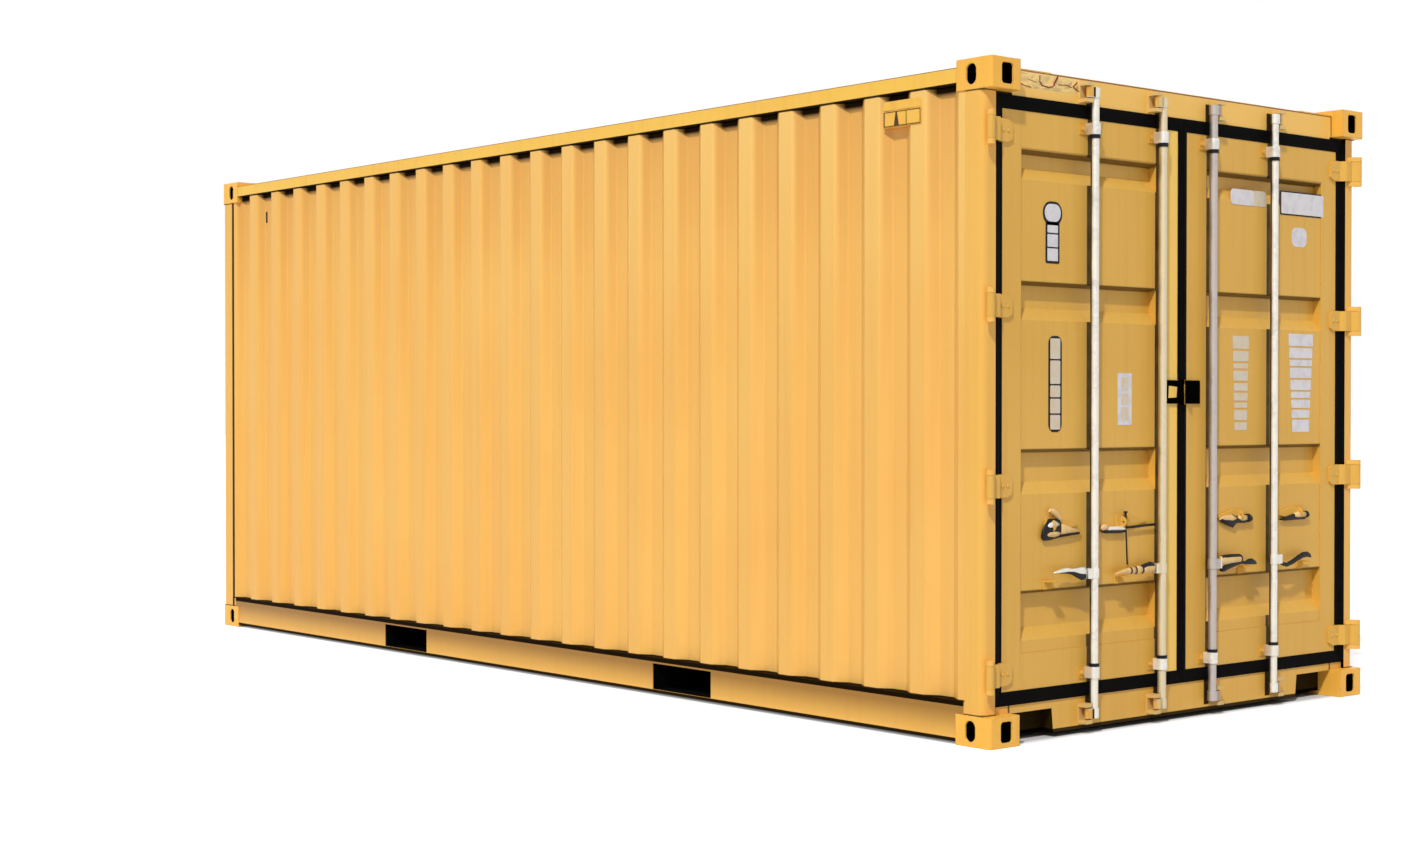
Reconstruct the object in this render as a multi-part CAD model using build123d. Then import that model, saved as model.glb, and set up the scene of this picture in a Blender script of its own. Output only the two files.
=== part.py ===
from build123d import *
import os

os.makedirs("parts", exist_ok=True)

# A 20-foot dry freight container. The doors are at the +X end, "left" is the -Y side
# (on the left of someone who faces the doors), and the floor stands at Z = 0.

# Outer size over the corner castings
LENGTH = 6058
WIDTH = 2438
HEIGHT = 2591
SKIN_INSET = 3              # the rails, posts and walls stay this far inside the castings
FOOT_CLEARANCE = 12.5       # the castings stand this far below the rest of the base
ROOF_DROP = 26              # the top rails stay this far below the castings' top faces

# Corner castings
CASTING_LENGTH = 178
CASTING_WIDTH = 162
CASTING_HEIGHT = 118
CASTING_SLOT_WALL = 28
CASTING_OUTER_WALL = 16
CASTING_INNER_WALL = 10
CASTING_CORNER_RADIUS = 14
SLOT_LENGTH = 124.5
SLOT_WIDTH = 63.5
SLOT_FROM_END = 102.5
SLOT_FROM_SIDE = 89.5
APERTURE_HEIGHT = 79.5
SIDE_APERTURE_WIDTH = 51
END_APERTURE_WIDTH = 63.5
END_APERTURE_RADIUS = 14
APERTURE_FROM_FOOT = 59

# Base: side rails, crossmembers, fork pockets and floor
BOTTOM_RAIL_HEIGHT = 155
BOTTOM_RAIL_FLANGE = 44
BOTTOM_RAIL_PLATE = 4.5
CROSSMEMBER_HEIGHT = 122
CROSSMEMBER_FLANGE = 45
CROSSMEMBER_PLATE = 4
CROSSMEMBER_PITCH = 310
FLOOR_TOP = 172
FLOOR_THICKNESS = 28
FLOOR_GAP = 4
FLOOR_ROWS = 3
POCKET_SPACING = 2250
POCKET_SHIFT = 85           # towards the doors, from the middle of the container
POCKET_WIDTH = 400
POCKET_HEIGHT = 115
POCKET_PLATE = 3
STRAP_WIDTH = 200
STRAP_THICKNESS = 6

# Top side rails and roof
TOP_RAIL_SIZE = 60
TOP_RAIL_PLATE = 3
ROOF_SHEET = 2
ROOF_RIB_HEIGHT = 18
ROOF_RIB_PITCH = 209
ROOF_RIB_WIDTH = 130
ROOF_RIB_SLOPE = 20
ROOF_RIB_MARGIN = 70        # from the end of a rib to the inner face of the top rail
ROOF_LAP = 40               # how far the sheet lies on the top rails
CORNER_PLATE = 3
CORNER_PLATE_REACH = 240

# Side walls
SIDE_SHEET = 2
SIDE_DEPTH = 36
SIDE_PITCH = 257
SIDE_FLAT = 72
SIDE_WALL_INSET = 2         # from the outer face of the rails to the sheet

# Front wall and front frame
FRONT_SHEET = 2
FRONT_DEPTH = 45
FRONT_PITCH = 250
FRONT_FLAT = 90
FRONT_POST_SIDE = 100
FRONT_POST_END = 70
FRONT_POST_PLATE = 6
FRONT_POST_RADIUS = 20
FRONT_RAIL_DEPTH = 60
FRONT_RAIL_PLATE = 4
SILL_TOP = 150
SILL_BOTTOM = 20

# Rear frame: posts, header and sill
REAR_SETBACK = 44           # from the castings' end face to the post's end face
REAR_POST_SIDE = 90
REAR_POST_FACE = 72
REAR_POST_PLATE = 6
REAR_POST_CHANNEL = 12
REAR_POST_RADIUS = 30
HEADER_SETBACK = 57
HEADER_DEPTH = 87
HEADER_HEIGHT = 105
HEADER_PLATE = 4
STOP_THICKNESS = 24
STOP_REACH = 20
LOCK_RECESS_WIDTH = 262
LOCK_RECESS_TAPER = 12
LOCK_RECESS_DEPTH = 60
LOCK_RECESS_TOP = 115
LOCK_RECESS_PLATE = 5

# Doors
RUNNING_GAP = 5             # between a door and the frame or the other door
DOOR_SETBACK = 60
DOOR_THICKNESS = 50
DOOR_PLATE = 4
GASKET_WIDTH = 22
GASKET_BAND = 35
GASKET_INSET = 4
CENTRE_GASKET = 20.5
CENTRE_BEVEL = 3
DOOR_RAIL_HEIGHT = 150
HINGE_STILE = 132
LOCK_STILE = 142
PANEL_SHEET = 2
PANEL_INSET = 3
PANEL_DEPTH = 36
PANEL_STEP = 10
PANEL_SLOPE = 48
LOWER_GROOVES = ((46, 235), (606, 777))      # up from the sheet's lower edge
UPPER_GROOVES = ((656, 510), (120, 8))       # down from the sheet's upper edge

# Hinges
HINGES_FROM_FOOT = (78, 792)                 # up from the door's lower edge
HINGES_FROM_HEAD = (757, 93)                 # down from the door's upper edge
HINGE_INSET = 16            # pin axis from the castings' end face and side face
HINGE_PIN_RADIUS = 8
HINGE_PIN_CLEARANCE = 0.1
HINGE_EYE_RADIUS = 15
HINGE_EYE_HEIGHT = 88
HINGE_LUG_HEIGHT = 20
HINGE_LUG_GAP = 0.5
HINGE_LUG_FOOT = 2          # flat where a lug meets the post
BLADE_THICKNESS = 9.5
BLADE_LENGTH = 75
BLADE_END_CUT = 14
BLADE_ARM_GAP = 5.1         # from the blade's arm to the post's end face

# Locking bars, cams and keepers
OUTER_BAR_FROM_MIDDLE = 22  # from the middle of a door towards its hinges
INNER_BAR_FROM_CENTRE = 167 # from the middle of the container
BAR_INSET = 27              # bar axis from the castings' end face
BAR_RADIUS = 17
BAR_GUIDE_CLEARANCE = 0.5
CAM_HEIGHT = 40
CAM_HUB_RADIUS = 20
CAM_REACH = 42
CAM_TIP_RADIUS = 9
CAM_FROM_END = 81           # cam's middle from the top and the bottom of the container
KEEPER_BASE = 5
KEEPER_LUG = 15
KEEPER_PROUD = 44
KEEPER_REACH = 62
KEEPER_NEAR = 24
GUIDE_FROM_EDGE = 50
GUIDE_HEIGHT = 45
GUIDE_WALL = 6
GUIDE_FOOT = 110
GUIDE_PLATE = 5

# Handles and their catches
HANDLE_HEIGHT = 630
HANDLE_PIVOT = 38           # pivot from the bar's axis
HANDLE_PIN_RADIUS = 5
HANDLE_PIN_CLEARANCE = 0.1
HANDLE_THICKNESS = 12
HANDLE_SIDE_GAP = 0.5
HANDLE_EYE_RADIUS = 14
HANDLE_LENGTH = 250
HANDLE_NECK = 75            # where the grip is slimmest, from the pivot
HANDLE_NECK_RISE = 10
HANDLE_TIP_HEIGHT = 26
HANDLE_DROP = 12
HUB_CHEEK = 6
HUB_HEIGHT = 40
RETAINER_FROM_BAR = 215
RETAINER_WIDTH = 46
RETAINER_PLATE = 5
RETAINER_PROUD = 44
RETAINER_HEIGHT = 34
CATCH_HEIGHT = 822
CATCH_NEAR = 62
CATCH_LENGTH = 190
CATCH_HEAD = 62
CATCH_PLATE = 8
CATCH_EYE_RADIUS = 6
CATCH_EYE_REACH = 11        # the eye's centre from the plate
SEAL_LUG_HEIGHT = 1343
SEAL_LUG_WIDTH = 90
SEAL_LUG_TALL = 96
SEAL_LUG_PROUD = 26
SEAL_LUG_PLATE = 8
SEAL_HOLE_RADIUS = 7
SEAL_HOLE_REACH = 16        # the hole's centre from the door

# Ventilators
VENT_FROM_END = 364         # from the castings' end face
VENT_FROM_RAIL = 68         # from the top rail's underside
VENT_LENGTH = 207
VENT_HEIGHT = 64
VENT_PLATE = 3
VENT_PROUD = 2
VENT_FIT = 0.2
VENT_SLATS = 3
VENT_SLOT = 9               # height of each slot
VENT_SLOT_MARGIN = 9        # from a slot's end to the vent's end

# Places that follow from the sizes above
END = LENGTH / 2
SIDE = WIDTH / 2
FACE_Y = SIDE - SKIN_INSET
FRONT_X = -END + SKIN_INSET
RAIL_TOP = FOOT_CLEARANCE + BOTTOM_RAIL_HEIGHT
RAIL_INNER = FACE_Y - BOTTOM_RAIL_FLANGE
ROOF_LEVEL = HEIGHT - ROOF_DROP
WALL_TOP = ROOF_LEVEL - TOP_RAIL_SIZE
WALL_OUTER = FACE_Y - SIDE_WALL_INSET
CASTING_X = END - CASTING_LENGTH
CASTING_Y = SIDE - CASTING_WIDTH
POST_TOP = HEIGHT - CASTING_HEIGHT
POST_X = END - REAR_SETBACK
POST_BACK = POST_X - REAR_POST_SIDE
POST_INNER = FACE_Y - REAR_POST_FACE
FRONT_POST_X = FRONT_X + FRONT_POST_SIDE
FRONT_POST_Y = FACE_Y - FRONT_POST_END
FRONT_RAIL_X = FRONT_X + FRONT_RAIL_DEPTH
HEADER_X = END - HEADER_SETBACK
HEADER_BACK = HEADER_X - HEADER_DEPTH
HEADER_BOTTOM = ROOF_LEVEL - HEADER_HEIGHT
DOOR_X = END - DOOR_SETBACK
DOOR_BACK = DOOR_X - DOOR_THICKNESS
PANEL_X = DOOR_X - PANEL_INSET
DOOR_BOTTOM = SILL_TOP + RUNNING_GAP + GASKET_BAND
DOOR_TOP = HEADER_BOTTOM - RUNNING_GAP - GASKET_BAND
PANEL_BOTTOM = DOOR_BOTTOM + DOOR_RAIL_HEIGHT
PANEL_TOP = DOOR_TOP - DOOR_RAIL_HEIGHT
LEAF_OUTER = POST_INNER - RUNNING_GAP - GASKET_WIDTH
LEAF_INNER = RUNNING_GAP / 2 + CENTRE_GASKET
OUTER_BAR_Y = (LEAF_OUTER + LEAF_INNER) / 2 + OUTER_BAR_FROM_MIDDLE
BAR_OFFSETS = (OUTER_BAR_Y, INNER_BAR_FROM_CENTRE)
HINGE_X = END - HINGE_INSET
HINGE_Y = SIDE - HINGE_INSET
HINGE_HEIGHTS = [DOOR_BOTTOM + rise for rise in HINGES_FROM_FOOT]
HINGE_HEIGHTS += [DOOR_TOP - drop for drop in HINGES_FROM_HEAD]
BAR_X = END - BAR_INSET
VENT_X = END - VENT_FROM_END - VENT_LENGTH
VENT_BOTTOM = WALL_TOP - VENT_FROM_RAIL - VENT_HEIGHT
FLOOR_BOTTOM = FLOOR_TOP - FLOOR_THICKNESS
POCKET_TOP = FLOOR_BOTTOM - POCKET_PLATE
POCKET_BOTTOM = POCKET_TOP - POCKET_HEIGHT


def block(x0, x1, y0, y1, z0, z1):
    """A rectangular block between two opposite corners."""
    centre = Pos((x0 + x1) / 2, (y0 + y1) / 2, (z0 + z1) / 2)
    return centre * Box(x1 - x0, y1 - y0, z1 - z0)


def upright(outline, z0, z1):
    """A plan outline, a list of (x, y), raised from z0 to z1."""
    face = make_face(Polyline(*[(x, y, z0) for x, y in outline], close=True))
    return extrude(face, z1 - z0, dir=(0, 0, 1))


def along_x(outline, x0, x1):
    """A cross-section outline, a list of (y, z), run from x0 to x1."""
    face = make_face(Polyline(*[(x0, y, z) for y, z in outline], close=True))
    return extrude(face, x1 - x0, dir=(1, 0, 0))


def along_y(outline, y0, y1):
    """A side outline, a list of (x, z), run from y0 to y1."""
    face = make_face(Polyline(*[(x, y0, z) for x, z in outline], close=True))
    return extrude(face, y1 - y0, dir=(0, 1, 0))


def rod_up(x, y, radius, z0, z1):
    """An upright cylinder."""
    return Pos(x, y, (z0 + z1) / 2) * Cylinder(radius, z1 - z0)


def right_side(shape):
    """The mirror image of a left-hand piece."""
    return mirror(shape, about=Plane.XZ)


def front_end(shape):
    """The mirror image of a rear piece."""
    return mirror(shape, about=Plane.YZ)


def top_level(shape):
    """The mirror image of a piece at the base, at the top of the container."""
    return mirror(shape, about=Plane.XY.offset(HEIGHT / 2))


def save(name, *pieces):
    """Write one node: its solids do not touch each other."""
    solids = [solid for piece in pieces for solid in piece.solids()]
    export_step(solids[0] if len(solids) == 1 else Compound(children=solids), f"parts/{name}.step")


def folded_sheet(start, length, pitch, flat, depth, thickness):
    """Outline of a folded sheet as (along, across): flats at 0 and at depth, joined by slopes."""
    count = round(length / pitch)
    step = length / count
    slope = step / 2 - flat
    line = [(start, 0)]
    for i in range(count):
        x = start + i * step
        line += [
            (x + flat / 2, 0),
            (x + flat / 2 + slope, depth),
            (x + 3 * flat / 2 + slope, depth),
            (x + 3 * flat / 2 + 2 * slope, 0),
        ]
    line.append((start + length, 0))
    return line + [(x, y + thickness) for x, y in reversed(line)]


def casting_envelope():
    """The outer block of the bottom casting at the rear left corner."""
    return block(CASTING_X, END, -SIDE, -CASTING_Y, 0, CASTING_HEIGHT)


def all_casting_envelopes():
    """The outer blocks of all eight castings."""
    one_side = [casting_envelope(), front_end(casting_envelope())]
    base = one_side + [right_side(shape) for shape in one_side]
    return base + [top_level(shape) for shape in base]


def corner_casting():
    """Rear left bottom casting: a hollow box with a slotted foot and two side apertures."""
    body = casting_envelope()
    corner = body.edges().filter_by(Axis.Z).sort_by(lambda edge: edge.center().X - edge.center().Y)[-1]
    body = fillet(corner, CASTING_CORNER_RADIUS)
    body -= block(
        CASTING_X + CASTING_INNER_WALL,
        END - CASTING_OUTER_WALL,
        -SIDE + CASTING_OUTER_WALL,
        -CASTING_Y - CASTING_INNER_WALL,
        CASTING_SLOT_WALL,
        CASTING_HEIGHT - CASTING_INNER_WALL,
    )
    slot = extrude(SlotOverall(SLOT_LENGTH, SLOT_WIDTH), CASTING_SLOT_WALL)
    body -= Pos(END - SLOT_FROM_END, -SIDE + SLOT_FROM_SIDE, 0) * slot
    side_slot = Plane.XZ * SlotOverall(APERTURE_HEIGHT, SIDE_APERTURE_WIDTH, rotation=90)
    side_slot = extrude(side_slot, CASTING_OUTER_WALL, dir=(0, 1, 0))
    body -= Pos(END - SLOT_FROM_END, -SIDE, APERTURE_FROM_FOOT) * side_slot
    end_hole = Plane.YZ * RectangleRounded(END_APERTURE_WIDTH, APERTURE_HEIGHT, END_APERTURE_RADIUS)
    end_hole = extrude(end_hole, CASTING_OUTER_WALL, dir=(-1, 0, 0))
    body -= Pos(END, -SIDE + SLOT_FROM_SIDE, APERTURE_FROM_FOOT) * end_hole
    return body


def pocket_ends():
    """The start and end of each fork pocket along X."""
    middles = (POCKET_SHIFT - POCKET_SPACING / 2, POCKET_SHIFT + POCKET_SPACING / 2)
    return [(x - POCKET_WIDTH / 2, x + POCKET_WIDTH / 2) for x in middles]


def bottom_side_rail():
    """Left bottom rail: a channel with its web outside, cut for the fork pockets."""
    t = BOTTOM_RAIL_PLATE
    outline = [
        (-FACE_Y, FOOT_CLEARANCE),
        (-RAIL_INNER, FOOT_CLEARANCE),
        (-RAIL_INNER, FOOT_CLEARANCE + t),
        (-FACE_Y + t, FOOT_CLEARANCE + t),
        (-FACE_Y + t, RAIL_TOP - t),
        (-RAIL_INNER, RAIL_TOP - t),
        (-RAIL_INNER, RAIL_TOP),
        (-FACE_Y, RAIL_TOP),
    ]
    rail = along_x(outline, FRONT_POST_X, POST_BACK)
    for envelope in (casting_envelope(), front_end(casting_envelope())):
        rail -= envelope
    for x0, x1 in pocket_ends():
        rail -= block(x0, x1, -SIDE, -FACE_Y + t, POCKET_BOTTOM, POCKET_TOP)
    return rail


def top_side_rail():
    """Left top rail: a square tube between the top castings."""
    y0, y1 = -FACE_Y, -FACE_Y + TOP_RAIL_SIZE
    t = TOP_RAIL_PLATE
    tube = block(-CASTING_X, CASTING_X, y0, y1, WALL_TOP, ROOF_LEVEL)
    return tube - block(-CASTING_X, CASTING_X, y0 + t, y1 - t, WALL_TOP + t, ROOF_LEVEL - t)


def crossmember(x):
    """One channel under the floor, its web at x and its flanges towards the doors."""
    t = CROSSMEMBER_PLATE
    z0 = FLOOR_BOTTOM - CROSSMEMBER_HEIGHT
    outline = [
        (x, z0),
        (x + CROSSMEMBER_FLANGE, z0),
        (x + CROSSMEMBER_FLANGE, z0 + t),
        (x + t, z0 + t),
        (x + t, FLOOR_BOTTOM - t),
        (x + CROSSMEMBER_FLANGE, FLOOR_BOTTOM - t),
        (x + CROSSMEMBER_FLANGE, FLOOR_BOTTOM),
        (x, FLOOR_BOTTOM),
    ]
    reach = FACE_Y - BOTTOM_RAIL_PLATE
    return along_y(outline, -reach, reach)


def crossmembers():
    """Channels at an even pitch in the three bays that the fork pockets leave."""
    (a0, a1), (b0, b1) = pocket_ends()
    edge = CROSSMEMBER_FLANGE + CROSSMEMBER_PLATE
    bays = [(FRONT_RAIL_X, a0 - edge), (a1 + edge, b0 - edge), (b1 + edge, HEADER_BACK)]
    members = []
    for start, stop in bays:
        count = int((stop - start - CROSSMEMBER_FLANGE) / CROSSMEMBER_PITCH)
        step = (stop - start) / (count + 1)
        members += [crossmember(start + step * (i + 1) - CROSSMEMBER_FLANGE / 2) for i in range(count)]
    return members


def fork_pocket(x0, x1):
    """One tunnel across the base: two side channels, a top plate and a strap at each end."""
    reach = FACE_Y - BOTTOM_RAIL_PLATE
    z0 = POCKET_BOTTOM - STRAP_THICKNESS
    t = CROSSMEMBER_PLATE
    pocket = block(x0 - t, x1 + t, -reach, reach, POCKET_TOP, FLOOR_BOTTOM)
    pocket += block(x0 - t, x0, -reach, reach, z0, POCKET_TOP)
    pocket += block(x1, x1 + t, -reach, reach, z0, POCKET_TOP)
    pocket += block(x0 - CROSSMEMBER_FLANGE, x0, -reach, reach, z0, z0 + t)
    pocket += block(x1, x1 + CROSSMEMBER_FLANGE, -reach, reach, z0, z0 + t)
    for y0, y1 in ((-reach, -reach + STRAP_WIDTH), (reach - STRAP_WIDTH, reach)):
        pocket += block(x0, x1, y0, y1, z0, POCKET_BOTTOM)
    return pocket


def floor_boards():
    """Plywood sheets in rows, two to a row, on the crossmembers."""
    x0, x1 = FRONT_RAIL_X + FLOOR_GAP, HEADER_BACK - FLOOR_GAP
    row = (x1 - x0 + FLOOR_GAP) / FLOOR_ROWS
    half = RAIL_INNER - FLOOR_GAP
    notch_x, notch_y = FRONT_POST_X + FLOOR_GAP, -FRONT_POST_Y + FLOOR_GAP
    notch = block(x0, notch_x, -half, notch_y, FLOOR_BOTTOM, FLOOR_TOP)
    boards = []
    for i in range(FLOOR_ROWS):
        start = x0 + i * row
        board = block(start, start + row - FLOOR_GAP, -half, -FLOOR_GAP / 2, FLOOR_BOTTOM, FLOOR_TOP)
        board -= notch
        boards += [board, right_side(board)]
    return boards


def vent_block(fit):
    """The block that a ventilator fills in the left wall, grown by a fit."""
    return block(
        VENT_X - fit,
        VENT_X + VENT_LENGTH + fit,
        -WALL_OUTER - VENT_PROUD,
        -WALL_OUTER + SIDE_DEPTH + SIDE_SHEET,
        VENT_BOTTOM - fit,
        VENT_BOTTOM + VENT_HEIGHT + fit,
    )


def side_wall():
    """Left wall: a folded sheet between the posts and the rails."""
    length = POST_BACK - FRONT_POST_X
    outline = folded_sheet(FRONT_POST_X, length, SIDE_PITCH, SIDE_FLAT, SIDE_DEPTH, SIDE_SHEET)
    wall = upright([(x, -WALL_OUTER + y) for x, y in outline], RAIL_TOP, WALL_TOP)
    for envelope in (top_level(casting_envelope()), top_level(front_end(casting_envelope()))):
        wall -= envelope
    return wall - vent_block(VENT_FIT)


def ventilator():
    """Ventilator: a shallow open-backed box with slots in its face."""
    box = vent_block(0)
    y0 = -WALL_OUTER - VENT_PROUD
    depth = VENT_PROUD + SIDE_DEPTH + SIDE_SHEET
    box -= block(
        VENT_X + VENT_PLATE,
        VENT_X + VENT_LENGTH - VENT_PLATE,
        y0 + VENT_PLATE,
        y0 + depth,
        VENT_BOTTOM + VENT_PLATE,
        VENT_BOTTOM + VENT_HEIGHT - VENT_PLATE,
    )
    x0, x1 = VENT_X + VENT_SLOT_MARGIN, VENT_X + VENT_LENGTH - VENT_SLOT_MARGIN
    for i in range(VENT_SLATS):
        z = VENT_BOTTOM + VENT_HEIGHT * (2 * i + 1) / (2 * VENT_SLATS)
        box -= block(x0, x1, y0, y0 + VENT_PLATE, z - VENT_SLOT / 2, z + VENT_SLOT / 2)
    return box


def front_wall():
    """Front wall: a deeper folded sheet between the front posts."""
    outline = folded_sheet(-FRONT_POST_Y, 2 * FRONT_POST_Y, FRONT_PITCH, FRONT_FLAT, FRONT_DEPTH, FRONT_SHEET)
    wall = upright([(FRONT_X + x, y) for y, x in outline], SILL_TOP, WALL_TOP)
    for envelope in all_casting_envelopes():
        wall -= envelope
    return wall


def front_post():
    """Left front post: a closed pressed section with a slanted inner face."""
    outline = [
        (FRONT_X, -FACE_Y),
        (FRONT_POST_X, -FACE_Y),
        (FRONT_POST_X, -FACE_Y + SIDE_DEPTH + SIDE_SHEET + SIDE_WALL_INSET),
        (FRONT_X + FRONT_DEPTH + FRONT_SHEET, -FRONT_POST_Y),
        (FRONT_X, -FRONT_POST_Y),
    ]
    face = make_face(Polyline(*outline, close=True))
    outer = extrude(face, POST_TOP - CASTING_HEIGHT, dir=(0, 0, 1))
    corner = outer.edges().filter_by(Axis.Z).sort_by(lambda edge: edge.center().X + edge.center().Y)[0]
    outer = fillet(corner, FRONT_POST_RADIUS)
    hollow = extrude(offset(face, -FRONT_POST_PLATE), POST_TOP - CASTING_HEIGHT, dir=(0, 0, 1))
    corner = hollow.edges().filter_by(Axis.Z).sort_by(lambda edge: edge.center().X + edge.center().Y)[0]
    hollow = fillet(corner, FRONT_POST_RADIUS - FRONT_POST_PLATE)
    return Pos(0, 0, CASTING_HEIGHT) * (outer - hollow)


def end_beam(x0, x1, z0, z1, plate):
    """A rectangular tube across the container between the castings."""
    tube = block(x0, x1, -CASTING_Y, CASTING_Y, z0, z1)
    return tube - block(x0 + plate, x1 - plate, -CASTING_Y, CASTING_Y, z0 + plate, z1 - plate)


def front_sill():
    """Bottom beam of the front end, carried on over the castings to the posts."""
    beam = end_beam(FRONT_X, FRONT_RAIL_X, SILL_BOTTOM, SILL_TOP, FRONT_RAIL_PLATE)
    for side in (-1, 1):
        y0, y1 = sorted((side * CASTING_Y, side * FRONT_POST_Y))
        beam += block(FRONT_X, FRONT_RAIL_X, y0, y1, CASTING_HEIGHT, SILL_TOP)
    return beam


def front_top_rail():
    """Top beam of the front end between the castings."""
    return end_beam(FRONT_X, FRONT_RAIL_X, WALL_TOP, ROOF_LEVEL, FRONT_RAIL_PLATE)


def rear_post():
    """Left rear post: a rounded outer plate closed by a heavier channel beside the door."""
    outer = upright(
        [(POST_BACK, -FACE_Y), (POST_X, -FACE_Y), (POST_X, -POST_INNER), (POST_BACK, -POST_INNER)],
        CASTING_HEIGHT,
        POST_TOP,
    )
    corner = outer.edges().filter_by(Axis.Z).sort_by(lambda edge: edge.center().X - edge.center().Y)[-1]
    outer = fillet(corner, REAR_POST_RADIUS)
    hollow = block(
        POST_BACK + REAR_POST_PLATE,
        POST_X - REAR_POST_PLATE,
        -FACE_Y + REAR_POST_PLATE,
        -POST_INNER - REAR_POST_CHANNEL,
        CASTING_HEIGHT,
        POST_TOP,
    )
    corner = hollow.edges().filter_by(Axis.Z).sort_by(lambda edge: edge.center().X - edge.center().Y)[-1]
    return outer - fillet(corner, REAR_POST_RADIUS - REAR_POST_PLATE)


def door_header():
    """Top beam of the door end, with a stop behind the doors."""
    beam = end_beam(HEADER_BACK, HEADER_X, HEADER_BOTTOM, ROOF_LEVEL, HEADER_PLATE)
    for side in (-1, 1):
        y0, y1 = sorted((side * CASTING_Y, side * POST_INNER))
        beam += block(HEADER_BACK, HEADER_X, y0, y1, HEADER_BOTTOM, POST_TOP)
    stop = (HEADER_BACK, HEADER_BACK + STOP_THICKNESS, -POST_INNER, POST_INNER)
    return beam + block(*stop, HEADER_BOTTOM - STOP_REACH, HEADER_BOTTOM)


def lock_recess(grow):
    """The space beside the left casting in the sill, open to the front and below."""
    y0, y1 = -CASTING_Y, -CASTING_Y + LOCK_RECESS_WIDTH + grow
    outline = [
        (y0, 0),
        (y1, 0),
        (y1 - LOCK_RECESS_TAPER, LOCK_RECESS_TOP + grow),
        (y0, LOCK_RECESS_TOP + grow),
    ]
    return along_x(outline, HEADER_X - LOCK_RECESS_DEPTH - grow, HEADER_X)


def door_sill():
    """Bottom beam of the door end, with a threshold and a recess beside each casting."""
    beam = end_beam(HEADER_BACK, HEADER_X, SILL_BOTTOM, SILL_TOP, HEADER_PLATE)
    beam_space = block(HEADER_BACK, HEADER_X, -CASTING_Y, CASTING_Y, SILL_BOTTOM, SILL_TOP)
    liner = lock_recess(LOCK_RECESS_PLATE) & beam_space
    beam += liner
    beam += right_side(liner)
    beam -= lock_recess(0)
    beam -= right_side(lock_recess(0))
    for side in (-1, 1):
        y0, y1 = sorted((side * CASTING_Y, side * POST_INNER))
        beam += block(HEADER_BACK, HEADER_X, y0, y1, CASTING_HEIGHT, SILL_TOP)
    stop = (HEADER_BACK, HEADER_BACK + STOP_THICKNESS, -POST_INNER, POST_INNER)
    return beam + block(*stop, SILL_TOP, FLOOR_TOP)


def roof_panel():
    """Roof: one sheet with pressed ribs across it, notched round the castings."""
    half = FACE_Y - TOP_RAIL_SIZE + ROOF_LAP
    level = ROOF_LEVEL + ROOF_SHEET
    roof = block(FRONT_X + SKIN_INSET, HEADER_X, -half, half, ROOF_LEVEL, level)
    span = 2 * CASTING_X - ROOF_RIB_PITCH
    count = round(span / ROOF_RIB_PITCH)
    step = span / count
    length = 2 * (FACE_Y - TOP_RAIL_SIZE - ROOF_RIB_MARGIN)
    ribs = []
    for i in range(count):
        x = -CASTING_X + ROOF_RIB_PITCH / 2 + step * (i + 0.5)
        ribs.append(roof_rib(x, length))
    roof += ribs
    roof -= [Pos(0, 0, -ROOF_SHEET) * rib for rib in ribs]
    for envelope in all_casting_envelopes():
        roof -= envelope
    return roof


def roof_rib(x, length):
    """One pressed rib as a solid with sloping sides and closed ends."""
    level = ROOF_LEVEL + ROOF_SHEET
    foot = Pos(x, 0, level) * Rectangle(ROOF_RIB_WIDTH, length)
    top_size = (ROOF_RIB_WIDTH - 2 * ROOF_RIB_SLOPE, length - 2 * ROOF_RIB_SLOPE)
    top = Pos(x, 0, level + ROOF_RIB_HEIGHT) * Rectangle(*top_size)
    return loft([foot, top])


def roof_corner_plates():
    """Flat plates on the roof beside the castings, against lifting gear."""
    level = ROOF_LEVEL + ROOF_SHEET
    y0, y1 = -CASTING_Y, -CASTING_Y + CORNER_PLATE_REACH
    plate = block(CASTING_X, HEADER_X, y0, y1, level, level + CORNER_PLATE)
    plates = [plate, right_side(plate)]
    return plates + [front_end(shape) for shape in plates]


def hinge_lugs():
    """Left hinge lugs on the post, a pair for each hinge, with the pin between them."""
    boss = Circle(HINGE_EYE_RADIUS)
    foot_x = POST_X - HINGE_X + HINGE_LUG_FOOT / 2
    foot = Pos(foot_x, REAR_POST_RADIUS) * Rectangle(HINGE_LUG_FOOT, 2 * HINGE_EYE_RADIUS)
    lug = extrude(make_hull((boss + foot).edges()), HINGE_LUG_HEIGHT)
    half = HINGE_EYE_HEIGHT / 2 + HINGE_LUG_GAP
    pairs = []
    for height in HINGE_HEIGHTS:
        pair = rod_up(HINGE_X, -HINGE_Y, HINGE_PIN_RADIUS, height - half, height + half)
        for z0 in (height - half - HINGE_LUG_HEIGHT, height + half):
            pair += Pos(HINGE_X, -HINGE_Y, z0) * lug
        pairs.append(pair)
    return pairs


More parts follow.
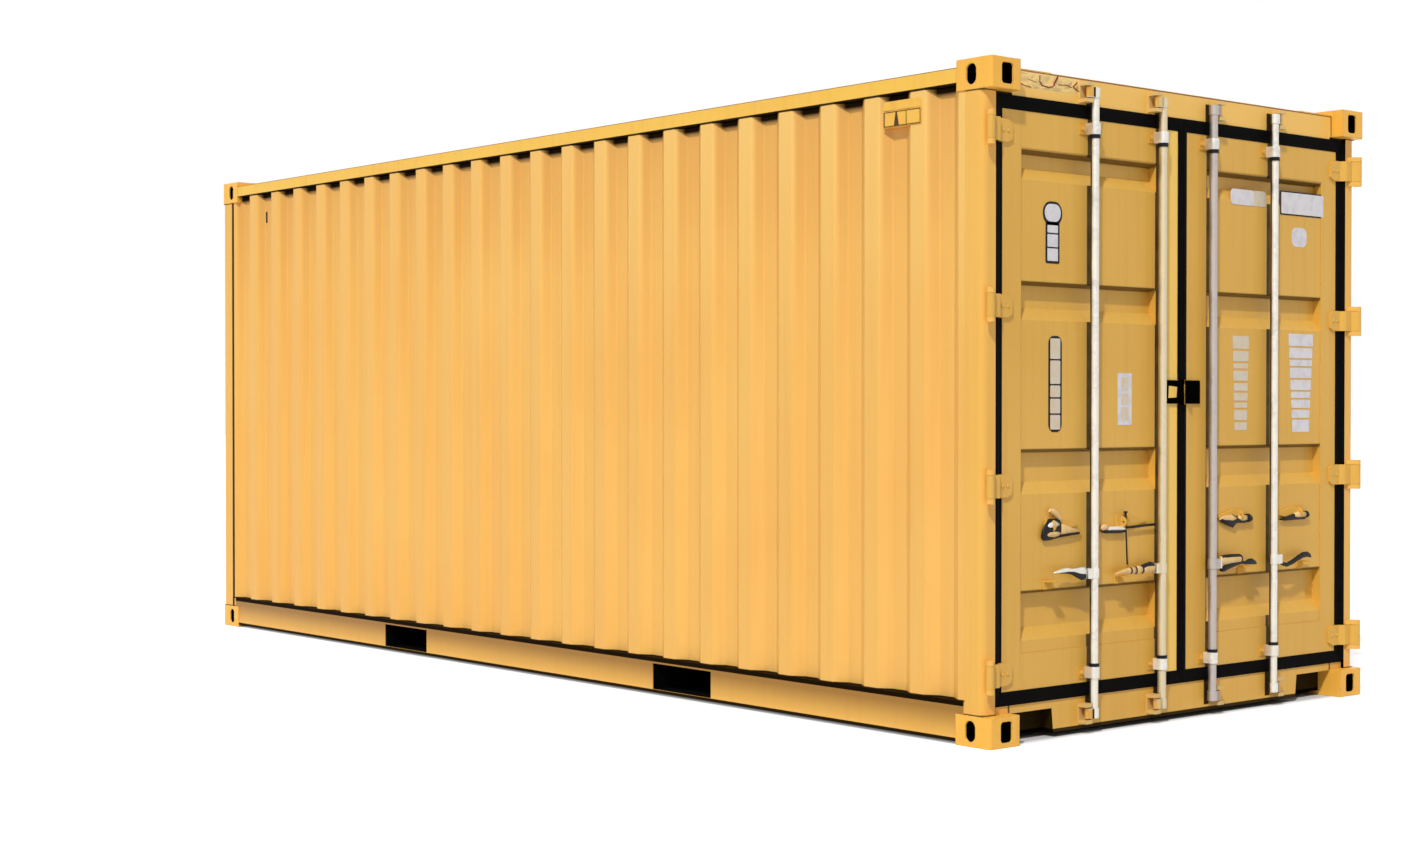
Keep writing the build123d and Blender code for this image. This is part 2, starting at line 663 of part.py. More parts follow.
def hinge_blade(height):
    """One left hinge blade: an eye on the pin and an arm cranked back onto the door."""
    gap = HINGE_X - POST_X
    back = -gap + BLADE_ARM_GAP
    front = back + BLADE_THICKNESS
    leaf = DOOR_X - HINGE_X
    bend = HINGE_Y - POST_INNER + BLADE_ARM_GAP
    ease = BLADE_THICKNESS * (2 ** 0.5 - 1)     # how far a 45-degree bend shifts the arm's outer corner
    end = HINGE_Y - LEAF_OUTER + BLADE_LENGTH
    eye = Circle(HINGE_EYE_RADIUS)
    root = Pos((back + front) / 2, 3 * HINGE_EYE_RADIUS / 2) * Rectangle(BLADE_THICKNESS, HINGE_EYE_RADIUS)
    arm = [
        (back, HINGE_EYE_RADIUS),
        (back, bend),
        (leaf, bend + back - leaf),
        (leaf, end),
        (leaf + BLADE_THICKNESS, end),
        (leaf + BLADE_THICKNESS, bend + back - leaf + ease),
        (front, bend + ease),
        (front, HINGE_EYE_RADIUS),
    ]
    z0 = -HINGE_EYE_HEIGHT / 2
    knuckle = extrude(make_hull(eye.edges() + root.edges()), HINGE_EYE_HEIGHT)
    blade = upright(arm, z0, -z0) + Pos(0, 0, z0) * knuckle
    blade -= rod_up(0, 0, HINGE_PIN_RADIUS + HINGE_PIN_CLEARANCE, z0, -z0)
    for side in (-1, 1):
        cut = [
            (end - 2 * BLADE_END_CUT, side * HINGE_EYE_HEIGHT / 2),
            (end, side * (HINGE_EYE_HEIGHT / 2 - BLADE_END_CUT)),
            (end, side * HINGE_EYE_HEIGHT / 2),
        ]
        blade -= along_x(cut, leaf, leaf + BLADE_THICKNESS)
    return Pos(HINGE_X, -HINGE_Y, height) * blade


def tube_up(x0, x1, y0, y1, z0, z1, plate):
    """An upright rectangular tube, open at its ends."""
    return block(x0, x1, y0, y1, z0, z1) - block(x0 + plate, x1 - plate, y0 + plate, y1 - plate, z0, z1)


def door_stiles():
    """Left door's two upright tubes: the one at the hinges and the one at the centre."""
    size = (DOOR_BACK, DOOR_X)
    hinge = tube_up(*size, -LEAF_OUTER, -LEAF_OUTER + HINGE_STILE, DOOR_BOTTOM, DOOR_TOP, DOOR_PLATE)
    lock = tube_up(*size, -LEAF_INNER - LOCK_STILE, -LEAF_INNER, DOOR_BOTTOM, DOOR_TOP, DOOR_PLATE)
    return [hinge, lock]


def door_rail(z0, z1):
    """A channel across the left door, its web outside."""
    y0, y1 = -LEAF_OUTER + HINGE_STILE, -LEAF_INNER - LOCK_STILE
    rail = block(DOOR_BACK, DOOR_X, y0, y1, z0, z1)
    return rail - block(DOOR_BACK, DOOR_X - DOOR_PLATE, y0, y1, z0 + DOOR_PLATE, z1 - DOOR_PLATE)


def door_rails():
    """Left door's bottom and top channels."""
    return [door_rail(DOOR_BOTTOM, PANEL_BOTTOM), door_rail(PANEL_TOP, DOOR_TOP)]


def door_panel():
    """Left door's sheet, pressed in with wide horizontal grooves."""
    deep = PANEL_X - PANEL_DEPTH
    grooves = [(PANEL_BOTTOM + z0, PANEL_BOTTOM + z1) for z0, z1 in LOWER_GROOVES]
    grooves += [(PANEL_TOP - z0, PANEL_TOP - z1) for z0, z1 in UPPER_GROOVES]
    line = [(PANEL_X, PANEL_BOTTOM)]
    for z0, z1 in grooves:
        line += [(PANEL_X, z0), (deep, z0 + PANEL_SLOPE), (deep, z1 - PANEL_STEP), (PANEL_X, z1)]
    line.append((PANEL_X, PANEL_TOP))
    outline = line + [(x - PANEL_SHEET, z) for x, z in reversed(line)]
    return along_y(outline, -LEAF_OUTER + HINGE_STILE, -LEAF_INNER - LOCK_STILE)


def door_gasket():
    """Left door's rubber seal, a band round the leaf, bevelled where the doors meet."""
    x0, x1 = DOOR_BACK + GASKET_INSET, DOOR_X - GASKET_INSET
    y0, y1 = -LEAF_OUTER - GASKET_WIDTH, -LEAF_INNER + CENTRE_GASKET
    outline = [(x0, y0), (x1, y0), (x1, y1), (x0, y1 - CENTRE_BEVEL)]
    ring = upright(outline, DOOR_BOTTOM - GASKET_BAND, DOOR_TOP + GASKET_BAND)
    return ring - block(x0, x1, -LEAF_OUTER, -LEAF_INNER, DOOR_BOTTOM, DOOR_TOP)


def cam(x, y, z):
    """A cam for a left-hand bar: a hub with a nose towards the hinge side."""
    hub = Circle(CAM_HUB_RADIUS)
    nose = Pos(0, -CAM_REACH) * Circle(CAM_TIP_RADIUS)
    plan = make_hull((hub.edges() + nose.edges()))
    return Pos(x, y, z - CAM_HEIGHT / 2) * extrude(plan, CAM_HEIGHT)


def handle_hub(y):
    """The forked hub on a left-hand bar, with the handle's pin through it."""
    half = HANDLE_THICKNESS / 2 + HANDLE_SIDE_GAP
    reach = HANDLE_PIVOT + HANDLE_EYE_RADIUS - HUB_CHEEK / 2
    z0, z1 = HANDLE_HEIGHT - HUB_HEIGHT / 2, HANDLE_HEIGHT + HUB_HEIGHT / 2
    outer = half + HUB_CHEEK
    hub = block(BAR_X - outer, BAR_X + outer, y - reach, y, z0, z1)
    hub -= block(BAR_X - half, BAR_X + half, y - reach, y, z0, z1)
    hub += rod_up(BAR_X, y, CAM_HUB_RADIUS, z0, z1)
    pin = Pos(BAR_X, y - HANDLE_PIVOT, HANDLE_HEIGHT) * Rot(0, 90, 0) * Cylinder(HANDLE_PIN_RADIUS, 2 * outer)
    return hub + pin


def locking_bar(offset):
    """A left-hand locking bar with a cam at each end and the handle's hub."""
    y = -offset
    z0, z1 = CAM_FROM_END - CAM_HEIGHT / 2, HEIGHT - CAM_FROM_END + CAM_HEIGHT / 2
    bar = rod_up(BAR_X, y, BAR_RADIUS, z0, z1)
    bar += cam(BAR_X, y, CAM_FROM_END)
    bar += cam(BAR_X, y, HEIGHT - CAM_FROM_END)
    return bar + handle_hub(y)


def bar_handle(offset):
    """A left-hand handle: an eye on the hub's pin and a grip towards the hinge side."""
    y = -offset - HANDLE_PIVOT
    z = HANDLE_HEIGHT
    eye = Circle(HANDLE_EYE_RADIUS)
    grip = [
        (0, HANDLE_EYE_RADIUS),
        (-HANDLE_NECK, HANDLE_NECK_RISE),
        (-HANDLE_LENGTH, HANDLE_TIP_HEIGHT - HANDLE_DROP),
        (-HANDLE_LENGTH, -HANDLE_DROP),
        (-HANDLE_NECK, -HANDLE_EYE_RADIUS),
        (0, -HANDLE_EYE_RADIUS),
    ]
    plan = eye + make_face(Polyline(*grip, close=True))
    plan -= Circle(HANDLE_PIN_RADIUS + HANDLE_PIN_CLEARANCE)
    handle = extrude(Plane.YZ * plan, HANDLE_THICKNESS / 2, both=True)
    return Pos(BAR_X, y, z) * handle


def keeper(offset, middle):
    """A keeper for a left-hand bar: a base with an upper and a lower lug, open in front."""
    y0, y1 = -offset - KEEPER_REACH, -offset - KEEPER_NEAR
    half = CAM_HEIGHT / 2 + RUNNING_GAP
    base = block(HEADER_X, HEADER_X + KEEPER_BASE, y0, y1, middle - half, middle + half)
    for z0 in (middle - half - KEEPER_LUG, middle + half):
        base += block(HEADER_X, HEADER_X + KEEPER_PROUD, y0, y1, z0, z0 + KEEPER_LUG)
    return base


def lock_keepers():
    """All eight keepers, on the header and the sill."""
    left = [keeper(offset, z) for offset in BAR_OFFSETS for z in (CAM_FROM_END, HEIGHT - CAM_FROM_END)]
    return left + [right_side(shape) for shape in left]


def bar_guide(offset, middle):
    """A guide on the left door: a foot plate and a rounded saddle bored for the bar."""
    z0, z1 = middle - GUIDE_HEIGHT / 2, middle + GUIDE_HEIGHT / 2
    y = -offset
    radius = BAR_RADIUS + GUIDE_WALL
    guide = block(DOOR_X, DOOR_X + GUIDE_PLATE, y - GUIDE_FOOT / 2, y + GUIDE_FOOT / 2, z0, z1)
    guide += block(DOOR_X, BAR_X, y - radius, y + radius, z0, z1)
    guide += rod_up(BAR_X, y, radius, z0, z1)
    return guide - rod_up(BAR_X, y, BAR_RADIUS + BAR_GUIDE_CLEARANCE, z0, z1)


def bar_guides():
    """The left door's guides, near the top and the bottom of each bar."""
    heights = (DOOR_BOTTOM + GUIDE_FROM_EDGE, DOOR_TOP - GUIDE_FROM_EDGE)
    return [bar_guide(offset, z) for offset in BAR_OFFSETS for z in heights]


def handle_retainer(offset):
    """The open-fronted shelf on the left door that the handle comes to rest over."""
    y0 = -offset - RETAINER_FROM_BAR - RETAINER_WIDTH
    z1 = HANDLE_HEIGHT - HANDLE_EYE_RADIUS - RUNNING_GAP
    shelf = block(PANEL_X, PANEL_X + RETAINER_PROUD, y0, y0 + RETAINER_WIDTH, z1 - RETAINER_PLATE, z1)
    z0 = z1 - RETAINER_HEIGHT
    return shelf + block(PANEL_X, PANEL_X + RETAINER_PLATE, y0, y0 + RETAINER_WIDTH, z0, z1)


def handle_catch(offset):
    """The tapered hasp plate above the handle, with an eye for a padlock."""
    y = -offset - CATCH_NEAR
    outline = [
        (y, CATCH_HEIGHT),
        (y - CATCH_LENGTH + CATCH_HEAD, CATCH_HEIGHT + CATCH_HEAD / 2),
        (y - CATCH_LENGTH, CATCH_HEIGHT + CATCH_HEAD / 2),
        (y - CATCH_LENGTH, CATCH_HEIGHT - CATCH_HEAD / 2),
        (y - CATCH_LENGTH + CATCH_HEAD, CATCH_HEIGHT - CATCH_HEAD / 2),
    ]
    plate = along_x(outline, PANEL_X, PANEL_X + CATCH_PLATE)
    eye_y = y - CATCH_LENGTH + CATCH_HEAD / 2
    lug = Pos(PANEL_X + CATCH_PLATE, eye_y, CATCH_HEIGHT) * Rot(90, 0, 0)
    radius = CATCH_HEAD / 2 - CATCH_PLATE
    ring = Cylinder(radius, CATCH_PLATE) & Pos(radius, 0, 0) * Box(2 * radius, 2 * radius, CATCH_PLATE)
    ring -= Pos(CATCH_EYE_REACH, 0, 0) * Cylinder(CATCH_EYE_RADIUS, CATCH_PLATE)
    return plate + lug * ring


def seal_lug():
    """The left half of the seal lugs that face each other over the centre gasket."""
    z0, z1 = SEAL_LUG_HEIGHT - SEAL_LUG_TALL / 2, SEAL_LUG_HEIGHT + SEAL_LUG_TALL / 2
    foot_y = -LEAF_INNER
    plate = block(DOOR_X, DOOR_X + SEAL_LUG_PLATE, foot_y - SEAL_LUG_WIDTH, foot_y, z0, z1)
    ear = block(DOOR_X, DOOR_X + SEAL_LUG_PROUD, foot_y - SEAL_LUG_PLATE, foot_y, z0, z1)
    hole = Pos(DOOR_X + SEAL_HOLE_REACH, foot_y, SEAL_LUG_HEIGHT) * Rot(90, 0, 0)
    return plate + ear - hole * Cylinder(SEAL_HOLE_RADIUS, 2 * SEAL_LUG_PLATE)


def door_fittings():
    """The left door's retainers, hasp plates and seal lug."""
    pieces = [handle_retainer(offset) for offset in BAR_OFFSETS]
    pieces += [handle_catch(offset) for offset in BAR_OFFSETS]
    return pieces + [seal_lug()]


def save_pair(name, *pieces):
    """Write a left-hand node and its mirror image on the right."""
    save(f"{name}_left", *pieces)
    save(f"{name}_right", *[right_side(piece) for piece in pieces])


rear_casting = corner_casting()
front_casting = front_end(rear_casting)
save_pair("casting_bottom_rear", rear_casting)
save_pair("casting_bottom_front", front_casting)
save_pair("casting_top_rear", top_level(rear_casting))
save_pair("casting_top_front", top_level(front_casting))
save_pair("bottom_side_rail", bottom_side_rail())
save_pair("top_side_rail", top_side_rail())
save_pair("side_wall", side_wall())
save_pair("ventilator", ventilator())
save_pair("front_post", front_post())
save_pair("rear_post", rear_post())
save_pair("hinge_lugs", *hinge_lugs())
save("crossmembers", *crossmembers())
(front_pocket, rear_pocket) = pocket_ends()
save("fork_pocket_front", fork_pocket(*front_pocket))
save("fork_pocket_rear", fork_pocket(*rear_pocket))
save("floor_boards", *floor_boards())
save("front_sill", front_sill())
save("front_top_rail", front_top_rail())
save("front_wall", front_wall())
save("door_header", door_header())
save("door_sill", door_sill())
save("lock_keepers", *lock_keepers())
save("roof_panel", roof_panel())
save("roof_corner_plates", *roof_corner_plates())
save_pair("door_stiles", *door_stiles())
save_pair("door_rails", *door_rails())
save_pair("door_panel", door_panel())
save_pair("door_gasket", door_gasket())
save_pair("hinge_blades", *[hinge_blade(height) for height in HINGE_HEIGHTS])
save_pair("bar_guides", *bar_guides())
save_pair("door_fittings", *door_fittings())
outer_bar, inner_bar = [locking_bar(offset) for offset in BAR_OFFSETS]
outer_handle, inner_handle = [bar_handle(offset) for offset in BAR_OFFSETS]
save("locking_bar_1", outer_bar)
save("locking_bar_2", inner_bar)
save("locking_bar_3", right_side(inner_bar))
save("locking_bar_4", right_side(outer_bar))
save("bar_handle_1", outer_handle)
save("bar_handle_2", inner_handle)
save("bar_handle_3", right_side(inner_handle))
save("bar_handle_4", right_side(outer_handle))
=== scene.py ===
# %% [markdown]
# # A 20-foot dry freight container
#
# The steel box, its doors and its locking gear come in as fixed solids. This notebook gives them their
# finishes, adds what is too small or too soft to be a solid, such as weld beads, fasteners, rubber lips and
# blank plates, and sets up the floor, the lamp and the camera.

# %% The fixed solids
import math
import random
from functools import reduce

import bmesh
import bpy
from mathutils import Matrix, Vector, noise


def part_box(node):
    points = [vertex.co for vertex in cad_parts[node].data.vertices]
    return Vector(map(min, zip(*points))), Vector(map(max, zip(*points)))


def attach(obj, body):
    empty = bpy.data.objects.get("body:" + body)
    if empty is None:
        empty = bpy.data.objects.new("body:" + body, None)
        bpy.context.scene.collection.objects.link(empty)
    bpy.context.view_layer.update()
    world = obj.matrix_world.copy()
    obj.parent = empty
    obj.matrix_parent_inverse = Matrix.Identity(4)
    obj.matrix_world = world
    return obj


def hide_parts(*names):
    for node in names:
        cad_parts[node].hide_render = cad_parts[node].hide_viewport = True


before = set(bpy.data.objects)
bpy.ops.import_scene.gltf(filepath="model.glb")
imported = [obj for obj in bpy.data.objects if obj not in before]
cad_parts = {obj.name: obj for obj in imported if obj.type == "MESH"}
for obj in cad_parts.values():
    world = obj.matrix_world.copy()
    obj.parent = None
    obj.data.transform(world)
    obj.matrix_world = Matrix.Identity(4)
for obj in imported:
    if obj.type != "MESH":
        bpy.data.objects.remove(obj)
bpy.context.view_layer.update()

# %% [markdown]
# ## Units and small helpers
#
# Everything is measured in metres, while real sizes are easier to read in millimetres. Colours are written
# as sRGB hex values, as a paint chart gives them, and Blender wants them linear, so one function converts
# them. A pattern's scale is written as the real width of its grain, and a function turns that into a node's
# scale.

# %% Units, colours and pattern scales
MM = 0.001


def linear(hex_colour):
    """The linear RGBA of an sRGB hex colour."""
    channels = [int(hex_colour[i:i + 2], 16) / 255 for i in (1, 3, 5)]
    return [c / 12.92 if c <= 0.04045 else ((c + 0.055) / 1.055) ** 2.4 for c in channels] + [1.0]


def per_metre(width_mm):
    """How often a grain of this real width repeats in a metre."""
    return 1000.0 / width_mm


print("linear white", linear("#FFFFFF"), "| a 25 mm grain repeats", per_metre(25), "times in a metre")

# %% [markdown]
# ## One function for every shader node
#
# A material is a small network. The function below adds one node and returns one of its outputs. Each entry
# in the settings is a property of the node, a socket's value, or another node's output, which is then
# linked. Sockets that share a name are reached by number, as on the Mix node: 0 is the factor, 6 and 7 the
# two colours, and the mixed colour is output 2. A socket knows its own tree, so masks can be joined without
# naming it.

# %% Adding a node, and starting a material
def add(tree, kind, settings, output=0):
    """Adds one shader node, sets or links what it is given, and returns one of its outputs."""
    node = tree.nodes.new("ShaderNode" + kind)
    connect(node, settings)
    return node.outputs[output] if len(node.outputs) else None


def connect(node, settings):
    """Sets a node's properties and sockets, and links the ones that are given an output."""
    for key, value in settings.items():
        if isinstance(key, str) and hasattr(node, key):
            setattr(node, key, value)
        elif isinstance(value, bpy.types.NodeSocket):
            node.id_data.links.new(value, node.inputs[key])
        else:
            node.inputs[key].default_value = value


def start_material(name, base):
    """A material of one colour, its node tree, its Principled shader and the object's own coordinates."""
    material = bpy.data.materials.new(name)
    material.use_nodes = True
    tree = material.node_tree
    tree.nodes.clear()
    surface = add(tree, "BsdfPrincipled", {"Base Color": linear(base)})
    add(tree, "OutputMaterial", {"Surface": surface})
    return material, tree, surface.node, add(tree, "TexCoord", {}, "Object")


print("every finish starts in", start_material.__name__, "and grows by", add.__name__)

# %% [markdown]
# ## Masks in the object's own place
#
# Dirt, worn paint and painted shade aren't spread evenly: they sit along a joint, at the foot of a wall or
# behind a bar. The solids all share one frame, so their object coordinates are the container's own. A band
# is a mask around a value of one coordinate, and a patch lies where its bands meet. A coat lays a colour over
# what a material has so far, and a stain is a coat that also takes the gloss off: it lays dirt and paint, and
# in many places painted shade.

# %% Bands, and where they meet
HALF_HEIGHT = 1295.5    # mm
WALL_OUTER = 1214       # mm, from the middle to the wall's outer flats


def container_axes(place):
    """The container's measures at a point: `length`, `across` and `away` are distances from its middle."""
    tree = place.id_data
    along, y, high = add(tree, "SeparateXYZ", {0: place}).node.outputs
    up = add(tree, "Math", {"operation": "SUBTRACT", 0: high, 1: HALF_HEIGHT * MM})
    length, across, away = [add(tree, "Math", {"operation": "ABSOLUTE", 0: value})
                            for value in (along, y, up)]
    depth = add(tree, "Math", {"operation": "SUBTRACT", 0: WALL_OUTER * MM, 1: across})
    return {"place": place, "along": along, "length": length, "y": y, "across": across, "high": high,
            "away": away, "depth": depth}


def band(value, middle, half, soft, most=1.0):
    """A mask that is `most` within `half` of the middle and fades over `soft`, all in millimetres."""
    tree = value.id_data
    offset = add(tree, "Math", {"operation": "SUBTRACT", 0: value, 1: middle * MM})
    away = add(tree, "Math", {"operation": "ABSOLUTE", 0: offset})
    return add(tree, "MapRange", {0: away, "From Min": half * MM, "From Max": (half + soft) * MM,
                                  "To Min": most, "To Max": 0.0})


def both(first, second):
    """Where two masks meet."""
    return add(first.id_data, "Math", {"operation": "MULTIPLY", 0: first, 1: second})


def outside(mask):
    """Where a mask isn't."""
    return add(mask.id_data, "Math", {"operation": "SUBTRACT", 0: 1.0, 1: mask})


def meeting(axes, bands):
    """Where bands meet. Each is a mask, or an axis, a middle, half a width, a softness and a strength."""
    return reduce(both, [part if isinstance(part, bpy.types.NodeSocket) else band(axes[part[0]], *part[1:])
                         for part in bands])


print("a band 10 mm wide reaches", 5 * MM, "m each way")

# %% Coats, and stains of dirt and painted shade
def so_far(socket):
    """What feeds a socket up to now, or else its value."""
    return socket.links[0].from_socket if socket.is_linked else socket.default_value


def coat(shader, mask, hex_colour):
    """Lays a colour over a material's own, where the mask is high."""
    under = so_far(shader.inputs["Base Color"])
    mixed = add(shader.id_data, "Mix", {"data_type": "RGBA", 0: mask, 6: under, 7: linear(hex_colour)}, 2)
    connect(shader, {"Base Color": mixed})


def stain_and_shade(shader, mask, hex_colour):
    """Lays a colour over a material's own and takes its gloss off: dirt, paint, and in many places painted
    shade.
    """
    coat(shader, mask, hex_colour)
    connect(shader, {"Specular IOR Level": both(outside(mask), so_far(shader.inputs["Specular IOR Level"]))})


def lay(shader, axes, patches):
    """Lays patches in turn. Each is a coat or a stain, its colour, and the bands that it lies in."""
    for way, hex_colour, *bands in patches:
        way(shader, meeting(axes, bands), hex_colour)


print("ways to lay a patch:", coat.__name__, "and", stain_and_shade.__name__)

# %% [markdown]
# ## Container enamel
#
# The box is weathering steel, shot-blasted, primed, and sprayed with a one-coat alkyd enamel. New enamel
# has a fine orange peel and a soft sheen. In use it chalks a little in the sun, dust gathers in the folds,
# rain draws it down in streaks, and edges that are knocked wear through to brown steel. So the material
# mixes two tones of the paint in broad patches, adds vertical streaks, and wears only where a bevelled
# normal differs from the flat one, which is along edges. The sheets are also a little wavy from welding.

# %% Enamel on steel sheet, rolled sections and castings
STREAK_WIDTH = 34       # mm, the width of a dust streak on a wall
STREAK_LENGTH = 1100    # mm
PATCH_WIDTH = 900       # mm, patches of faded paint
PEEL_WIDTH = 9          # mm, drawn coarser than the real 1 mm so that it shows
WAVE_WIDTH = 420        # mm, waves in welded sheet
CHIP_WIDTH = 14         # mm, chips along edges
STEEL_BROWN = "#6B3F22"


def enamel(name, fresh, faded, dusty, worn=0.35, peel=0.25, wave=0.15, round_edge=2.5):
    """Sprayed alkyd enamel in two tones, with dust streaks, worn edges and an orange peel."""
    material, tree, shader, place = start_material(name, fresh)
    patches = add(tree, "TexNoise", {"Vector": place, "Scale": per_metre(PATCH_WIDTH), "Detail": 3.0})
    coat(shader, add(tree, "MapRange", {0: patches, "From Min": 0.35, "From Max": 0.68}), faded)

    stretch = (per_metre(STREAK_WIDTH), per_metre(STREAK_WIDTH), per_metre(STREAK_LENGTH))
    streak_place = add(tree, "Mapping", {"vector_type": "POINT", "Vector": place, "Scale": stretch})
    streaks = add(tree, "TexNoise", {"Vector": streak_place, "Scale": 1.0, "Detail": 4.0})
    coat(shader, add(tree, "MapRange", {0: streaks, "From Min": 0.5, "From Max": 0.9, "To Max": 0.32}), dusty)

    edge_normal = add(tree, "Bevel", {"samples": 4, "Radius": round_edge * MM})
    flat_normal = add(tree, "NewGeometry", {}, "Normal")
    facing = add(tree, "VectorMath", {"operation": "DOT_PRODUCT", 0: edge_normal, 1: flat_normal}, "Value")
    edge = add(tree, "MapRange", {0: facing, "From Min": 0.93, "From Max": 0.995, "To Min": worn,
                                  "To Max": 0.0})
    chips = add(tree, "TexNoise", {"Vector": place, "Scale": per_metre(CHIP_WIDTH), "Detail": 6.0})
    chip = add(tree, "MapRange", {0: chips, "From Min": 0.52, "From Max": 0.66})
    coat(shader, both(edge, chip), STEEL_BROWN)

    rough = add(tree, "MapRange", {0: patches, "To Min": 0.36, "To Max": 0.54})
    peels = add(tree, "TexNoise", {"Vector": place, "Scale": per_metre(PEEL_WIDTH), "Detail": 1.0})
    waves = add(tree, "TexNoise", {"Vector": place, "Scale": per_metre(WAVE_WIDTH), "Detail": 1.0})
    peeled = add(tree, "Bump", {"Strength": peel, "Distance": 0.4 * MM, "Height": peels,
                                "Normal": edge_normal})
    waved = add(tree, "Bump", {"Strength": wave, "Distance": 5 * MM, "Height": waves, "Normal": peeled})
    connect(shader, {"Roughness": rough, "Normal": waved, "IOR": 1.5})
    return material, shader, container_axes(place)


wall_paint, *wall_layers = enamel("wall_enamel", "#F2B757", "#F4BE60", "#DEA149", wave=0.3)
rail_paint, *rail_layers = enamel("rail_enamel", "#F9C64B", "#F7C04E", "#D9A03C")
frame_paint, *frame_layers = enamel("frame_enamel", "#F2B84F", "#F4BC57", "#D79B3E")
end_paint, *end_layers = enamel("end_frame_enamel", "#EBB64C", "#E6B049", "#CC9639")
door_paint, *door_layers = enamel("door_enamel", "#E8B44C", "#E1AD45", "#C99238", wave=0.3)
cast_paint, *cast_layers = enamel("cast_steel_enamel", "#FFC04A", "#FAB844", "#D29A3C", worn=0.5, peel=1.0,
                                  wave=0.0, round_edge=6)
paints = (wall_paint, rail_paint, frame_paint, end_paint, door_paint, cast_paint)
print("enamels", [paint.name for paint in paints])

# %% [markdown]
# ### Dirt and painted shade on the walls and rails
#
# Under the top rail each hollow of the wall gets a row of dark scallops: soot and road dirt there, and the
# top rail's shadow painted in. The wall's depth drives the mask: the deeper the fold, the further down the
# dark reaches. A black line of painted shade runs under the top rail and along the foot of the wall on the
# bottom rail. High up, and more towards the doors, the outer flats are painted lighter as a highlight, and
# the folds between them are painted darker as shade. Each row below is a coat or a stain, its colour, and the
# bands that it lies in: an axis, a middle, half a width and a softness in millimetres, and a strength where
# it isn't whole.

# %% Scallops of soot and painted shadow, a painted highlight, and lines and folds of painted shade
# These dark colours lay dirt, and in most places where they are used painted shade.
GRIME_AND_SHADE = "#22150B"
MUD_AND_SHADE = "#0C0603"
SOOT_AND_SHADE = "#060504"
WALL_TOP = 2505         # mm, under the top rail
RAIL_TOP = 167.5        # mm, where the wall stands on the bottom rail
RAIL_HEAD = 2565        # mm, the top of the top rail
SOOT_AND_SHADOW_REACH = 26         # mm, down the deepest fold
OUTER_FLATS = ("depth", 0, 4, 12)
FOLDS = ("depth", 708, 692, 12)         # all that lies 16 mm deep or more
HOLLOWS = ("depth", 714, 686, 25)       # all that lies 28 mm deep or more


def soot_and_shadow_scallops(axes):
    """Where the soot and the painted shadow under the top rail are."""
    tree = axes["high"].id_data
    reach = band(axes["depth"], *HOLLOWS[1:], SOOT_AND_SHADOW_REACH * MM)
    below = add(tree, "Math", {"operation": "SUBTRACT", 0: WALL_TOP * MM, 1: axes["high"]})
    inside = add(tree, "Math", {"operation": "SUBTRACT", 0: reach, 1: below})
    return add(tree, "MapRange", {0: inside, "From Min": -0.012, "From Max": 0.004, "To Max": 0.98})


def towards_doors(axes):
    """A mask that grows from the far end to the doors."""
    return add(axes["along"].id_data, "MapRange", {0: axes["along"], "From Min": -1.5, "From Max": 1.5,
                                                   "To Min": 0.12})


wall_axes = wall_layers[1]
lay(*wall_layers, [
    # painted highlight: the outer flats lighter high up and towards the doors
    (coat, "#F9CB70", ("high", 2600, 150, 950, 0.75), towards_doors(wall_axes), OUTER_FLATS),
    # painted shade: the folds darker, most of all high up
    (coat, "#CE9546", FOLDS, ("depth", 0, 30, 4, 0.32), ("high", 2600, 400, 1100)),
    (coat, "#CE8F42", FOLDS, ("high", 2600, 100, 600, 0.32)),
    (stain_and_shade, "#220B05", ("along", -2915, 11, 3, 0.95)),
    # soot and the top rail's painted shadow, in scallops down each hollow
    (stain_and_shade, MUD_AND_SHADE, soot_and_shadow_scallops(wall_axes), HOLLOWS),
    # painted shade: black lines under the top rail and at the wall's foot on the bottom rail
    (stain_and_shade, MUD_AND_SHADE, ("high", WALL_TOP, 5, 2, 0.95)),
    (stain_and_shade, MUD_AND_SHADE, ("high", RAIL_TOP, 4, 2, 0.97)),
])
lay(*rail_layers, [
    # painted shade: a black line along the top rail's lower edge
    (stain_and_shade, MUD_AND_SHADE, ("high", WALL_TOP - 1, 3.5, 1, 0.97)),
    (coat, "#7A4A18", ("high", RAIL_HEAD, 2.6, 1.5, 0.8), ("across", 1216, 5, 2)),
])
print("soot reaches", SOOT_AND_SHADOW_REACH, "mm down the deepest fold")

# %% [markdown]
# ### Dirt and painted shade on the frame, the doors and the castings
#
# Black lines of painted shade run where the posts meet the castings and along both edges of the bottom rail,
# whose face is painted darker towards its top as the shade under the wall, and the posts' faces beside the
# door seals are painted black as shade. Black strips beside the locking bars on the doors, and round them on
# the beams, are the bars' painted shadows and their grease, and a dark line under each step of the door
# panels is the step's painted shade. The header was struck, so its paint is fresher there. The recess beside
# each bottom casting, the hollow of every casting, the header's corner under each top casting and the foot of
# the sill are painted black as shade, and a strip of the left door's lock stile is painted lighter as a
# highlight.

# %% Dirt and painted shade on posts and beams
BAR_PLACES = (167, 592)     # mm, from the middle of the container to the bars
BETWEEN_CASTINGS = ("along", 0, 2888, 4)
BESIDE_BARS = ("high", 1290, 1246, 2, 0.95)

